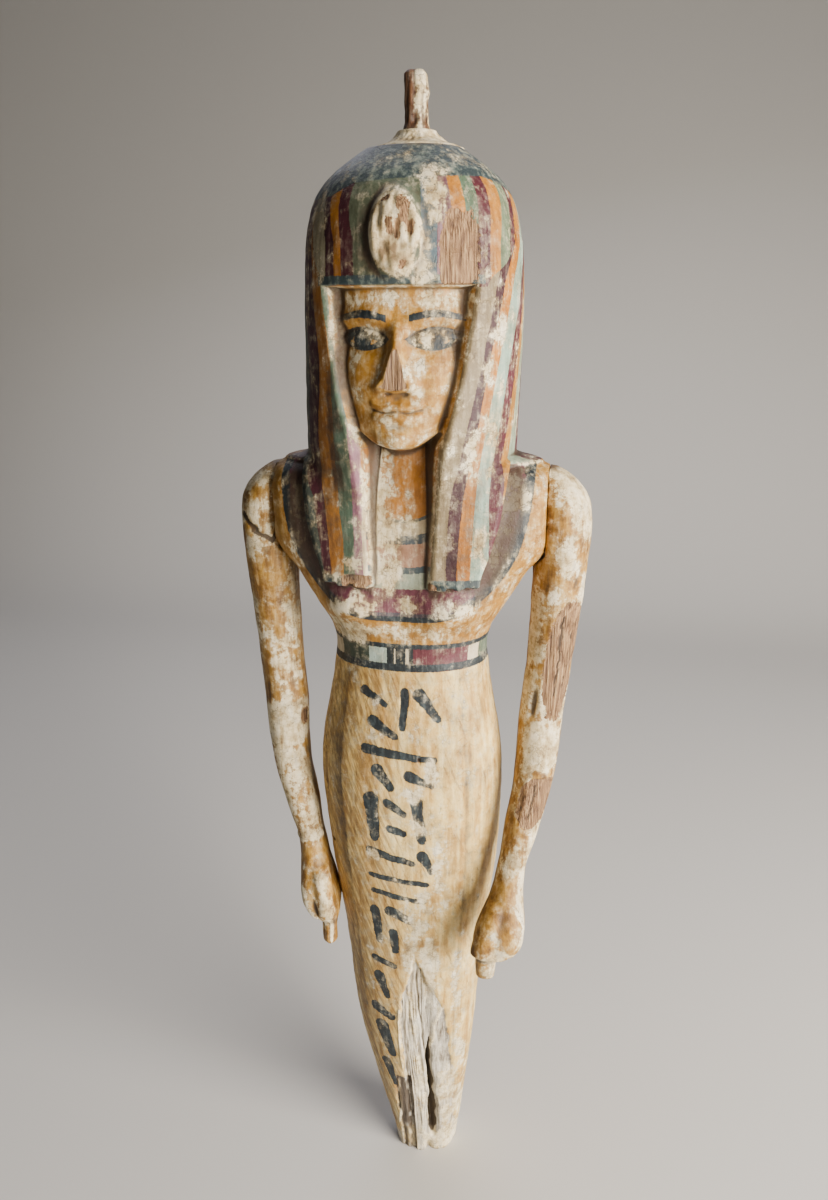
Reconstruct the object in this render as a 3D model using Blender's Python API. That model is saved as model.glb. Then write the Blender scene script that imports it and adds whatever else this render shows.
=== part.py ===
# Painted wooden statuette of a standing woman in a tight dress and a long striped wig.
# Metres, +Z up. The figure faces -Y, and +X is the viewer's right.
# The origin is on the flat underside of the break, below the crown.
import math

import bmesh
import bpy
import numpy as np

# Driving sizes
FIGURE_HEIGHT = 0.55
PEG_WIDTH = 0.0112
PEG_DEPTH = 0.0128
PEG_RISE = 0.0232
PEG_CLEARANCE = 0.0003
POCKET_DEPTH = 0.0070
MOUND_RISE = 0.0076
MOUND_WALL = 0.0013
MOUND_SPREAD = 0.0115
MOUND_OFFSET = 0.0012
SEAT_CLEARANCE = 0.0003
COLUMN_SPANS = (9, 1, 4, 1, 2, 2, 1, 4)
ARM_COLUMNS = 16
PEG_COLUMNS = 16
PEG_SQUARENESS = 3.2

# Landmarks, as shares of the figure's height
LAPPET_END = 0.658
BACK_HAIR_END = 0.672
CHIN_LEVEL = 0.772
JAW_RISE = 0.028
HAIRLINE = 0.898
SEAT_SHARE = 0.119

# Profiles, as (level, size) pairs in shares of the figure's height
SIDE_BOW = [
    (0.000, 0.0056), (0.030, 0.0048), (0.095, 0.0020), (0.200, -0.0033), (0.360, -0.0040),
    (0.475, -0.0062), (0.590, -0.0050), (0.773, -0.0030), (0.900, 0.0000), (1.000, 0.0000),
]
BODY_WIDTH = [
    (0.000, 0.0350), (0.025, 0.0388), (0.057, 0.0440), (0.095, 0.0496), (0.130, 0.0555),
    (0.166, 0.0612), (0.212, 0.0658), (0.252, 0.0688), (0.292, 0.0728), (0.377, 0.0835),
    (0.433, 0.0872), (0.465, 0.0878), (0.499, 0.0845), (0.538, 0.0775), (0.572, 0.0718),
    (0.590, 0.0702), (0.606, 0.0730), (0.634, 0.0885), (0.652, 0.0990), (0.664, 0.1065),
    (0.676, 0.1170), (0.690, 0.1260), (0.705, 0.1310), (0.735, 0.1320), (0.749, 0.1285),
    (0.756, 0.1165), (0.763, 0.0995), (0.769, 0.0800), (0.776, 0.0500), (0.790, 0.0400),
]
BODY_FRONT = [
    (0.000, 0.0320), (0.060, 0.0360), (0.130, 0.0430), (0.212, 0.0490), (0.300, 0.0540),
    (0.400, 0.0590), (0.460, 0.0605), (0.520, 0.0580), (0.570, 0.0530), (0.600, 0.0535),
    (0.640, 0.0570), (0.700, 0.0540), (0.740, 0.0500), (0.760, 0.0470), (0.790, 0.0480),
]
BODY_BACK = [
    (0.000, 0.0340), (0.060, 0.0370), (0.130, 0.0420), (0.212, 0.0500), (0.300, 0.0540),
    (0.390, 0.0620), (0.450, 0.0700), (0.500, 0.0640), (0.560, 0.0470), (0.600, 0.0430),
    (0.660, 0.0480), (0.720, 0.0520), (0.750, 0.0480), (0.770, 0.0420), (0.790, 0.0400),
]
BODY_ROUNDNESS = [(0.000, 2.3), (0.300, 2.2), (0.600, 2.2), (0.680, 2.8), (0.735, 2.8), (0.760, 2.0)]
WIG_WIDTH = [
    (0.640, 0.0800), (0.720, 0.0860), (0.767, 0.0905), (0.820, 0.0907), (0.878, 0.0903),
    (0.915, 0.0889), (0.927, 0.0880), (0.947, 0.0849), (0.965, 0.0786), (0.978, 0.0692),
    (0.990, 0.0549), (1.000, 0.0400),
]
WIG_FRONT = [
    (0.640, 0.0640), (0.700, 0.0650), (0.767, 0.0740), (0.820, 0.0810), (0.880, 0.0850),
    (0.930, 0.0840), (0.950, 0.0805), (0.968, 0.0725), (0.980, 0.0630), (0.990, 0.0510),
    (1.000, 0.0385),
]
WIG_BACK = [
    (0.640, 0.0590), (0.700, 0.0660), (0.767, 0.0780), (0.850, 0.0860), (0.915, 0.0860),
    (0.947, 0.0800), (0.968, 0.0715), (0.980, 0.0625), (0.990, 0.0505), (1.000, 0.0385),
]
FACE_WIDTH = [(0.765, 0.0330), (0.790, 0.0480), (0.815, 0.0570), (0.850, 0.0640), (0.910, 0.0680)]
FACE_FRONT = [(0.765, 0.0560), (0.780, 0.0745), (0.800, 0.0770), (0.860, 0.0775), (0.910, 0.0740)]
OPENING = [
    (0.640, 0.0265), (0.665, 0.0270), (0.720, 0.0305), (0.770, 0.0350), (0.800, 0.0431),
    (0.830, 0.0495), (0.860, 0.0550), (0.898, 0.0600),
]
LAPPET_OUTSIDE = [
    (0.640, 0.0675), (0.665, 0.0700), (0.690, 0.0780), (0.715, 0.0845), (0.745, 0.0885), (0.766, 0.0905),
]
BACK_HAIR_SIDE = 0.080
EDGE_STEP = 0.0018

# The arm on the viewer's left is the figure's right arm
ARM_MIDDLE = [
    (0.276, 0.0790), (0.300, 0.0800), (0.309, 0.0880), (0.322, 0.0910), (0.350, 0.0955),
    (0.385, 0.1005), (0.400, 0.1042), (0.426, 0.1100), (0.454, 0.1165), (0.486, 0.1205),
    (0.525, 0.1225), (0.572, 0.1269), (0.618, 0.1300), (0.660, 0.1322), (0.700, 0.1335),
    (0.720, 0.1320), (0.732, 0.1280), (0.741, 0.1220), (0.748, 0.1170), (0.753, 0.1130),
]
ARM_HALF_WIDTH = [
    (0.276, 0.0040), (0.280, 0.0072), (0.300, 0.0085), (0.308, 0.0160), (0.322, 0.0185),
    (0.350, 0.0160), (0.385, 0.0140), (0.400, 0.0148), (0.426, 0.0172), (0.454, 0.0182),
    (0.486, 0.0198), (0.525, 0.0210), (0.572, 0.0211), (0.618, 0.0225), (0.660, 0.0242),
    (0.705, 0.0246), (0.720, 0.0248), (0.732, 0.0242), (0.741, 0.0230), (0.748, 0.0190),
    (0.753, 0.0140),
]
ARM_FORWARD = [
    (0.276, 0.0440), (0.300, 0.0400), (0.312, 0.0300), (0.330, 0.0260), (0.385, 0.0180),
    (0.454, 0.0080), (0.525, 0.0010), (0.618, -0.0020), (0.757, -0.0010),
]
ARM_HALF_DEPTH = [
    (0.276, 0.0040), (0.280, 0.0075), (0.300, 0.0090), (0.308, 0.0185), (0.322, 0.0225),
    (0.350, 0.0210), (0.385, 0.0165), (0.426, 0.0200), (0.486, 0.0222), (0.525, 0.0225),
    (0.618, 0.0250), (0.700, 0.0310), (0.720, 0.0315), (0.732, 0.0300), (0.741, 0.0265),
    (0.748, 0.0210), (0.753, 0.0130),
]
LEFT_HAND_FORWARD = [(0.276, 0.0250), (0.300, 0.0310), (0.322, 0.0350), (0.385, 0.0230), (0.525, 0.0)]
LEFT_HAND_WIDENING = [(0.276, 1.25), (0.322, 1.30), (0.370, 1.00), (0.400, 1.00)]
THUMB_RADIUS = 0.0098


def through(points, at):
    """A smooth curve through (level, size) pairs that never overshoots them."""
    knots, sizes = (np.array(column, float) for column in zip(*points))
    steps = np.diff(knots)
    rises = np.diff(sizes) / steps
    slopes = np.concatenate([rises[:1], np.zeros(len(rises) - 1), rises[-1:]])
    same_way = rises[:-1] * rises[1:] > 0
    pairs = rises[:-1] + rises[1:]
    slopes[1:-1][same_way] = (2 * rises[:-1] * rises[1:])[same_way] / pairs[same_way]
    at = np.clip(np.asarray(at, float), knots[0], knots[-1])
    span = np.clip(np.searchsorted(knots, at) - 1, 0, len(steps) - 1)
    t = (at - knots[span]) / steps[span]
    bow = t * t * (3 - 2 * t)
    start = slopes[span] * steps[span] * t * (1 - t) ** 2
    end = slopes[span + 1] * steps[span] * t * t * (1 - t)
    return sizes[span] * (1 - bow) + sizes[span + 1] * bow + start - end


def ramp(value, low, high):
    """0 below low, 1 above high, and smooth between them."""
    t = np.clip((value - low) / (high - low), 0, 1)
    return t * t * (3 - 2 * t)


def bump(distance, reach):
    return np.exp(-((distance / reach) ** 2))


def oval(turn, width, front, back, roundness):
    """Distance from the axis to a squared-off oval; turn 0 is the front and a quarter turn is +X."""
    depth = np.where(np.cos(turn) > 0, front, back)
    across = np.abs(np.sin(turn)) / width
    along = np.abs(np.cos(turn)) / depth
    return (across**roundness + along**roundness) ** (-1 / roundness)


def face_relief(across, level):
    """Carving of the face above its plain oval, for a point this far across and this high."""
    tall = HAIRLINE - CHIN_LEVEL
    up = (level - CHIN_LEVEL) / tall
    side = np.abs(across)
    brow = 0.0030 * bump(up - 0.81, 0.07) * bump(side - 0.026, 0.030)
    socket = -0.0065 * bump(up - 0.70, 0.085) * bump(side - 0.029, 0.017)
    eyeball = 0.0046 * bump(up - 0.695, 0.050) * bump(side - 0.030, 0.0125)
    bridge = ramp(up, 0.36, 0.42) * ramp(0.80 - up, 0.0, 0.10)
    ridge = (0.0060 + 0.0085 * ramp(0.80 - up, 0.0, 0.40)) * bridge
    nose = ridge * bump(side, 0.0068 + 0.0045 * ramp(0.62 - up, 0.0, 0.22))
    broken = np.minimum(nose, 0.0092)
    wings = 0.0045 * bump(up - 0.425, 0.045) * bump(side - 0.0095, 0.0055)
    lips = 0.0042 * (bump(up - 0.295, 0.030) + bump(up - 0.225, 0.032)) * bump(side, 0.0145)
    mouth = -0.0022 * bump(up - 0.262, 0.016) * bump(side, 0.0170)
    chin = 0.0042 * bump(up - 0.085, 0.090) * bump(side, 0.0180)
    cheek = 0.0026 * bump(up - 0.46, 0.16) * bump(side - 0.034, 0.016)
    return brow + socket + eyeball + broken + wings + lips + mouth + chin + cheek


def torso(turn, level):
    """Distance from the axis to the body and the dress."""
    shell = oval(
        turn,
        through(BODY_WIDTH, level),
        through(BODY_FRONT, level),
        through(BODY_BACK, level),
        through(BODY_ROUNDNESS, level),
    )
    across = shell * np.sin(turn)
    front = np.cos(turn) > 0
    breasts = 0.0125 * bump(level - 0.638, 0.019) * bump(np.abs(across) - 0.040, 0.023)
    cleft = -0.0040 * bump(across, 0.010) * bump(level - 0.400, 0.040)
    seat = -0.0040 * bump(across, 0.010) * bump(level - 0.440, 0.050)
    return shell + np.where(front, breasts, cleft + seat)


def decay(turn, level):
    """How deep the rotten front of the lower legs has sunk, with its open slot and chipped foot."""
    radius = oval(turn, through(BODY_WIDTH, level), through(BODY_FRONT, level), 0.04, 2.3)
    across = radius * np.sin(turn)
    front = ramp(np.cos(turn), 0.0, 0.3)
    reach = through([(0.0, 0.036), (0.10, 0.034), (0.17, 0.022), (0.22, 0.009), (0.29, 0.003)], level)
    sunk = 0.0050 - 0.0026 * ramp(across, 0.020, 0.030)
    lost = sunk * ramp(reach - np.abs(across - 0.012), -0.003, 0.003) * ramp(0.285 - level, 0.0, 0.03)
    slot = 0.0180 * bump(across - 0.019, 0.0052) * ramp(level, 0.022, 0.040)
    slot = slot * ramp(0.125 - level, 0.0, 0.035)
    notch = 0.0060 * bump(across - 0.012, 0.0050) * ramp(0.020 - level, 0.0, 0.018)
    shaved = 0.0040 * ramp(-np.sin(turn), 0.3, 0.9) * ramp(0.10 - level, 0.0, 0.09)
    return front * (lost + slot + notch) + shaved


def head(turn, level):
    """Distance from the axis to the face and, below the chin, to the neck."""
    plain = oval(turn, through(FACE_WIDTH, level), through(FACE_FRONT, level), 0.03, 2.35)
    across = plain * np.sin(turn)
    carved = plain + face_relief(across, level) * ramp(np.cos(turn), 0.1, 0.5)
    neck = oval(turn, 0.0365, 0.0500, 0.03, 2.0)
    jaw = CHIN_LEVEL + JAW_RISE * (across / 0.050) ** 2
    return neck + (np.maximum(carved, neck) - neck) * ramp(level, jaw - 0.004, jaw + 0.006)


def hair(turn, level, under):
    """Distance from the axis to the wig, where it covers what lies under it, and the share covered."""
    shell = oval(turn, through(WIG_WIDTH, level), through(WIG_FRONT, level), through(WIG_BACK, level), 2.25)
    shell = np.where(level < HAIRLINE + 0.004, np.maximum(shell, under + 0.0085), shell)
    side = np.abs(shell * np.sin(turn))
    front = np.cos(turn) > 0
    open_edge = ramp(side - through(OPENING, level), -EDGE_STEP, EDGE_STEP)
    fringe = ramp(level, HAIRLINE - 0.002, HAIRLINE + 0.002)
    over_shoulder = ramp(level, 0.756, 0.762)
    lappet = ramp(through(LAPPET_OUTSIDE, level) - side, -EDGE_STEP, EDGE_STEP)
    lappet = lappet * ramp(level, LAPPET_END - 0.0015, LAPPET_END + 0.0015)
    in_front = np.maximum(open_edge, fringe) * np.maximum(lappet, over_shoulder)
    behind = ramp(BACK_HAIR_SIDE - side, -EDGE_STEP, EDGE_STEP)
    behind = behind * ramp(level, BACK_HAIR_END - 0.0015, BACK_HAIR_END + 0.0015)
    covered = np.where(front, in_front, np.maximum(behind, over_shoulder))
    return shell, covered


def bare_radius(turn, level):
    """Body, neck and face without the wig."""
    under = torso(turn, level) - decay(turn, level)
    above = ramp(level, 0.758, 0.778)
    return np.maximum(under * (1 - above) + head(turn, level) * above, head(turn, level) * np.sqrt(above))


def figure_radius(turn, level):
    """The whole carved figure, as a distance from its upright axis in shares of its height."""
    under = bare_radius(turn, level)
    shell, covered = hair(turn, level, under)
    radius = under + (shell - under) * covered
    inside = 1 - np.hypot(radius * np.sin(turn) / 0.0185, (level - 0.935) / 0.0305)
    return radius + 0.0100 * ramp(inside, -0.25, 0.35) * ramp(np.cos(turn), 0.3, 0.7)


def ring_turns(level):
    """Columns of one ring. They keep to the edges of the face opening, the lappets and the back hair."""
    fan = np.linspace(0, math.pi / 2, 181)
    at = np.full_like(fan, min(max(level, LAPPET_END + 0.002), HAIRLINE))
    shell, _ = hair(fan, at, bare_radius(fan, at))
    side = np.maximum.accumulate(shell * np.sin(fan))
    outside = min(float(through(LAPPET_OUTSIDE, at[0])), 0.93 * side[-1])
    opening = float(through(OPENING, at[0]))
    edges = [opening - EDGE_STEP, opening + EDGE_STEP, outside - EDGE_STEP, outside + EDGE_STEP]
    front = np.interp(edges, side, fan)
    shell, _ = hair(math.pi - fan, at, bare_radius(math.pi - fan, at))
    side = np.maximum.accumulate(shell * np.sin(fan))
    hem = min(BACK_HAIR_SIDE, 0.93 * side[-1])
    back = math.pi - np.interp([hem + EDGE_STEP, hem - EDGE_STEP], side, fan)
    knots = np.concatenate([[0.0], front, [math.pi / 2], back, [math.pi]])
    spans = zip(knots, knots[1:], COLUMN_SPANS)
    half = np.concatenate([np.linspace(low, high, count, endpoint=False) for low, high, count in spans])
    return np.concatenate([half, [math.pi], 2 * math.pi - half[:0:-1]])


def figure_levels():
    """Levels of the rings, close together where the carving steps."""
    runs = [
        (0.000, 0.130, 7), (0.130, 0.560, 11), (0.560, 0.652, 6), (0.652, LAPPET_END - 0.002, 2),
        (LAPPET_END - 0.002, BACK_HAIR_END + 0.003, 4), (BACK_HAIR_END + 0.003, 0.745, 5),
        (0.745, CHIN_LEVEL - 0.005, 5), (CHIN_LEVEL - 0.005, HAIRLINE - 0.003, 22),
        (HAIRLINE - 0.003, HAIRLINE + 0.003, 2), (HAIRLINE + 0.003, 1.000, 9),
    ]
    spans = [np.linspace(low, high, count, endpoint=False) for low, high, count in runs]
    return np.concatenate(spans + [[1.0]])


def solid_of_rings(name, rings):
    """One closed solid skinned over rings of equally many points, with a flat cap at each end."""
    mesh = bpy.data.meshes.new(name)
    shape = bmesh.new()
    made = [[shape.verts.new(point) for point in ring] for ring in rings]
    for low, high in zip(made, made[1:]):
        for i in range(len(low)):
            j = (i + 1) % len(low)
            shape.faces.new((low[i], low[j], high[j], high[i]))
    shape.faces.new(list(reversed(made[0])))
    shape.faces.new(made[-1])
    bmesh.ops.recalc_face_normals(shape, faces=shape.faces)
    shape.to_mesh(mesh)
    shape.free()
    mesh.shade_smooth()
    mesh.set_sharp_from_angle(angle=math.radians(40))
    solid = bpy.data.objects.new(name, mesh)
    bpy.context.scene.collection.objects.link(solid)
    return solid


def finish_with(solid, name, colour, roughness):
    material = bpy.data.materials.new(name)
    material.use_nodes = True
    shader = material.node_tree.nodes["Principled BSDF"]
    shader.inputs["Base Color"].default_value = (*colour, 1.0)
    shader.inputs["Roughness"].default_value = roughness
    shader.inputs["Metallic"].default_value = 0.0
    solid.data.materials.append(material)


def peg_section(turn, grown=0.0):
    """Distance from the peg's middle to its side, for the peg or for the pocket around it."""
    half = PEG_DEPTH / 2
    return oval(turn, PEG_WIDTH / 2, half, half, PEG_SQUARENESS) + grown


def peg_ring(turn, height, grown=0.0, width=1.0, depth=1.0, shift=0.0):
    radius = peg_section(turn, grown)
    x = radius * np.sin(turn) * width + MOUND_OFFSET + shift * PEG_WIDTH
    return np.stack([x, -radius * np.cos(turn) * depth, np.full_like(x, height)], 1)


def cut(solid, cutter):
    modifier = solid.modifiers.new("cut_" + cutter.name, "BOOLEAN")
    modifier.operation = "DIFFERENCE"
    modifier.solver = "EXACT"
    modifier.object = cutter


def make_figure():
    """Head, wig, torso and dress, carved from one block, with the gesso mound that holds the peg."""
    seat = SEAT_SHARE * FIGURE_HEIGHT
    rings = []
    for level in figure_levels():
        turn = ring_turns(level)
        radius = figure_radius(turn, np.full_like(turn, level)) * FIGURE_HEIGHT
        x = np.clip(radius * np.sin(turn), -seat, seat) + through(SIDE_BOW, level) * FIGURE_HEIGHT
        rings.append(np.stack([x, -radius * np.cos(turn), np.full_like(x, level * FIGURE_HEIGHT)], 1))
    mouth = np.max(peg_section(turn, PEG_CLEARANCE)) + MOUND_WALL
    for rise, spread in ((0.05, 1.0), (0.34, 0.38), (0.66, 0.09), (1.0, 0.0)):
        radius = mouth + MOUND_SPREAD * spread
        x = radius * np.sin(turn) + MOUND_OFFSET
        height = FIGURE_HEIGHT + MOUND_RISE * rise
        rings.append(np.stack([x, -radius * np.cos(turn), np.full_like(x, height)], 1))
    figure = solid_of_rings("figure", rings)
    top = FIGURE_HEIGHT + MOUND_RISE
    around = 2 * math.pi * np.arange(PEG_COLUMNS) / PEG_COLUMNS
    heights = (top - POCKET_DEPTH, top + POCKET_DEPTH)
    pocket = solid_of_rings("peg_pocket", [peg_ring(around, height, PEG_CLEARANCE) for height in heights])
    pocket.hide_render = True
    pocket.display_type = "WIRE"
    cut(figure, pocket)
    finish_with(figure, "painted_gesso", (0.66, 0.53, 0.33), 0.72)


def arm_radius(turn, level):
    """An arm's section: a rounded oval, boxy at the fist, with the thumb along its front."""
    boxy = 2.0 + 1.3 * ramp(level, 0.302, 0.314) * ramp(0.365 - level, 0.0, 0.03)
    width = through(ARM_HALF_WIDTH, level)
    depth = through(ARM_HALF_DEPTH, level)
    limb = oval(turn, width, depth, depth, boxy)
    reach = through([(0.276, 0.0), (0.300, 0.0), (0.313, 0.0185), (0.348, 0.0160), (0.375, 0.0)], level)
    aim = turn + math.radians(28)
    inside = np.maximum(THUMB_RADIUS**2 - (reach * np.sin(aim)) ** 2, 0)
    thumb = (reach * np.cos(aim) + np.sqrt(inside)) * (inside > 0) * (reach > 0.012)
    return np.maximum(limb, thumb)


def make_arm(name, side):
    """A hanging arm with its closed hand, cut back where it lies against the body."""
    turn = 2 * math.pi * np.arange(ARM_COLUMNS) / ARM_COLUMNS
    hand = [0.276, 0.280, 0.289, 0.300, 0.304, 0.309, 0.316, 0.326, 0.339, 0.352, 0.364, 0.376, 0.388]
    limb = [0.405, 0.428, 0.456, 0.490, 0.530, 0.572, 0.615]
    beside = [level for level in figure_levels() if 0.640 < level < 0.750]
    rings = []
    for level in hand + limb + beside + [0.753]:
        at = np.full_like(turn, level)
        radius = arm_radius(turn, at)
        across = radius * np.sin(turn)
        forward = through(ARM_FORWARD, at) + radius * np.cos(turn)
        if side > 0:
            across = across * through(LEFT_HAND_WIDENING, at)
            forward = forward + through(LEFT_HAND_FORWARD, at)
        across = across + through(ARM_MIDDLE, at)
        x = across * FIGURE_HEIGHT
        if level > 0.640:
            body = float(through(BODY_WIDTH, min(level, 0.700)))
            x = np.maximum(x, min(body, SEAT_SHARE) * FIGURE_HEIGHT + SEAT_CLEARANCE)
        x = side * x + through(SIDE_BOW, level) * FIGURE_HEIGHT
        rings.append(np.stack([x, -forward * FIGURE_HEIGHT, at * FIGURE_HEIGHT], 1))
    arm = solid_of_rings(name, rings)
    finish_with(arm, name + "_gesso", (0.62, 0.42, 0.20), 0.72)


def make_peg():
    """The bare, broken peg that once held the headdress, standing in its pocket in the mound."""
    floor = FIGURE_HEIGHT + MOUND_RISE - POCKET_DEPTH + PEG_CLEARANCE
    top = FIGURE_HEIGHT + MOUND_RISE + PEG_RISE
    turn = 2 * math.pi * np.arange(PEG_COLUMNS) / PEG_COLUMNS
    shapes = (
        (0.00, 1.00, 1.00, 0.00), (0.24, 1.00, 1.00, 0.00), (0.36, 0.92, 0.92, 0.00),
        (0.60, 0.98, 0.95, -0.02), (0.74, 1.06, 0.97, 0.02), (0.86, 1.00, 0.96, -0.02),
        (0.96, 0.92, 0.88, -0.03), (1.00, 0.70, 0.66, -0.03),
    )
    rings = [
        peg_ring(turn, floor + (top - floor) * share, width=width, depth=depth, shift=shift)
        for share, width, depth, shift in shapes
    ]
    peg = solid_of_rings("crown_peg", rings)
    finish_with(peg, "bare_wood", (0.25, 0.15, 0.09), 0.85)


def main():
    for old in list(bpy.data.objects):
        bpy.data.objects.remove(old, do_unlink=True)
    make_figure()
    make_arm("right_arm", -1)
    make_arm("left_arm", 1)
    make_peg()


main()
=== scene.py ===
# Painted wooden statuette of a standing woman: carved surface, gesso, paint and bare wood.
import math
from functools import partial

import bpy
import numpy as np
from mathutils import Matrix, Vector


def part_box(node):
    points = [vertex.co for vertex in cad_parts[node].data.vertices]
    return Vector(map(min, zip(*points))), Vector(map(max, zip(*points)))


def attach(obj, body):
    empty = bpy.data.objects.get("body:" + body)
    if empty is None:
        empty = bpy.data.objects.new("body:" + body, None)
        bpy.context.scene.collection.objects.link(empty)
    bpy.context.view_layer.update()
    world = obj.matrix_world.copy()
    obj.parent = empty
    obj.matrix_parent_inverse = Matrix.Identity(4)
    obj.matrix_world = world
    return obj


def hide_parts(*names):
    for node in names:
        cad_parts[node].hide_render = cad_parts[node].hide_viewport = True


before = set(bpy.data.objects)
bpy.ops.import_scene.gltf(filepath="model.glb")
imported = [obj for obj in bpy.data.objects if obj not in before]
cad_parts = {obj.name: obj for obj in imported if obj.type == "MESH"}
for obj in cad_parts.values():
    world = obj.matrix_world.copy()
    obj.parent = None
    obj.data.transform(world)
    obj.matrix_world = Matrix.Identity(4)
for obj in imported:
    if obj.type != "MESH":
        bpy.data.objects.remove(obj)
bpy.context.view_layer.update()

print("frame loaded")

mm = 0.001

figureShape = {
    "height": 0.55,  # to the crown, without mound and peg
    "lappetEnd": 0.658,  # landmarks, as shares of the height
    "backHairEnd": 0.672,
    "chin": 0.772,
    "jawRise": 0.028,
    "hairline": 0.898,
    "armSeat": 0.119,
    "backHairSide": 0.080,
    "edgeStep": 0.0018,
    "hairThickness": 0.0085,
    # profiles, as (level, size) in shares of the height
    "sideBow": [
        (0, 0.0056), (0.03, 0.0048), (0.095, 0.002), (0.2, -0.0033), (0.36, -0.004), (0.475, -0.0062),
        (0.59, -0.005), (0.773, -0.003), (0.9, 0), (1, 0),
    ],
    "bodyWidth": [
        (0, 0.035), (0.025, 0.0388), (0.057, 0.044), (0.095, 0.0496), (0.13, 0.0555), (0.166, 0.0612),
        (0.212, 0.0658), (0.252, 0.0688), (0.292, 0.0728), (0.377, 0.0835), (0.433, 0.0872),
        (0.465, 0.0878), (0.499, 0.0845), (0.538, 0.0775), (0.572, 0.0718), (0.59, 0.0702), (0.606, 0.073),
        (0.634, 0.0885), (0.652, 0.099), (0.664, 0.1065), (0.676, 0.117), (0.69, 0.126), (0.705, 0.131),
        (0.735, 0.132), (0.749, 0.1285), (0.756, 0.1165), (0.763, 0.0995), (0.769, 0.08), (0.776, 0.05),
        (0.79, 0.04),
    ],
    "bodyFront": [
        (0, 0.032), (0.06, 0.036), (0.13, 0.043), (0.212, 0.049), (0.3, 0.054), (0.4, 0.059),
        (0.46, 0.0605), (0.52, 0.058), (0.57, 0.053), (0.6, 0.0535), (0.64, 0.057), (0.7, 0.054),
        (0.74, 0.05), (0.76, 0.047), (0.79, 0.048),
    ],
    "bodyBack": [
        (0, 0.034), (0.06, 0.037), (0.13, 0.042), (0.212, 0.05), (0.3, 0.054), (0.39, 0.062), (0.45, 0.07),
        (0.5, 0.064), (0.56, 0.047), (0.6, 0.043), (0.66, 0.048), (0.72, 0.052), (0.75, 0.048),
        (0.77, 0.042), (0.79, 0.04),
    ],
    "bodyRoundness": [(0, 2.3), (0.3, 2.2), (0.6, 2.2), (0.68, 2.8), (0.735, 2.8), (0.76, 2)],
    "wigWidth": [
        (0.64, 0.08), (0.72, 0.086), (0.767, 0.0905), (0.82, 0.0907), (0.878, 0.0903), (0.915, 0.0889),
        (0.927, 0.088), (0.947, 0.0849), (0.965, 0.0786), (0.978, 0.0692), (0.99, 0.0549), (1, 0.04),
    ],
    "wigFront": [
        (0.64, 0.064), (0.7, 0.065), (0.767, 0.074), (0.82, 0.081), (0.88, 0.085), (0.93, 0.084),
        (0.95, 0.0805), (0.968, 0.0725), (0.98, 0.063), (0.99, 0.051), (1, 0.0385),
    ],
    "wigBack": [
        (0.64, 0.059), (0.7, 0.066), (0.767, 0.078), (0.85, 0.086), (0.915, 0.086), (0.947, 0.08),
        (0.968, 0.0715), (0.98, 0.0625), (0.99, 0.0505), (1, 0.0385),
    ],
    "faceWidth": [(0.765, 0.033), (0.79, 0.048), (0.815, 0.057), (0.85, 0.064), (0.91, 0.068)],
    "faceFront": [(0.765, 0.056), (0.78, 0.0745), (0.8, 0.077), (0.86, 0.0775), (0.91, 0.074)],
    "opening": [
        (0.64, 0.0265), (0.665, 0.027), (0.72, 0.0305), (0.77, 0.035), (0.8, 0.0431), (0.83, 0.0495),
        (0.86, 0.055), (0.898, 0.06),
    ],
    "lappetOutside": [
        (0.64, 0.0675), (0.665, 0.07), (0.69, 0.078), (0.715, 0.0845), (0.745, 0.0885), (0.766, 0.0905),
    ],
}

armShape = {
    "columns": 84,
    "rows": 330,
    "armMiddle": [
        (0.276, 0.079), (0.3, 0.08), (0.309, 0.088), (0.322, 0.091), (0.35, 0.0955), (0.385, 0.1005),
        (0.4, 0.1042), (0.426, 0.11), (0.454, 0.1165), (0.486, 0.1205), (0.525, 0.1225), (0.572, 0.1269),
        (0.618, 0.13), (0.66, 0.1322), (0.7, 0.1335), (0.72, 0.132), (0.732, 0.128), (0.741, 0.122),
        (0.748, 0.117), (0.753, 0.113),
    ],
    "armHalfWidth": [
        (0.276, 0.004), (0.28, 0.0072), (0.3, 0.0085), (0.308, 0.016), (0.322, 0.0185), (0.35, 0.016),
        (0.385, 0.014), (0.4, 0.0148), (0.426, 0.0172), (0.454, 0.0182), (0.486, 0.0198), (0.525, 0.021),
        (0.572, 0.0211), (0.618, 0.0225), (0.66, 0.0242), (0.705, 0.0246), (0.72, 0.0248), (0.732, 0.0242),
        (0.741, 0.023), (0.748, 0.019), (0.753, 0.014),
    ],
    "armForward": [
        (0.276, 0.044), (0.3, 0.04), (0.312, 0.03), (0.33, 0.026), (0.385, 0.018), (0.454, 0.008),
        (0.525, 0.001), (0.618, -0.002), (0.757, -0.001),
    ],
    "armHalfDepth": [
        (0.276, 0.004), (0.28, 0.0075), (0.3, 0.009), (0.308, 0.0185), (0.322, 0.0225), (0.35, 0.021),
        (0.385, 0.0165), (0.426, 0.02), (0.486, 0.0222), (0.525, 0.0225), (0.618, 0.025), (0.7, 0.031),
        (0.72, 0.0315), (0.732, 0.03), (0.741, 0.0265), (0.748, 0.021), (0.753, 0.013),
    ],
    "leftHandForward": [(0.276, 0.025), (0.3, 0.031), (0.322, 0.035), (0.385, 0.023), (0.525, 0)],
    "leftHandWidening": [(0.276, 1.25), (0.322, 1.3), (0.37, 1), (0.4, 1)],
    "thumbRadius": 0.0098,
    "thumbTurn": 28,  # degrees inwards from the front
    "thumbReach": [(0.276, 0), (0.3, 0), (0.313, 0.0185), (0.348, 0.016), (0.375, 0)],
    "girthRadius": 11.0,  # mm, for patches laid round the arm
}

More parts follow.
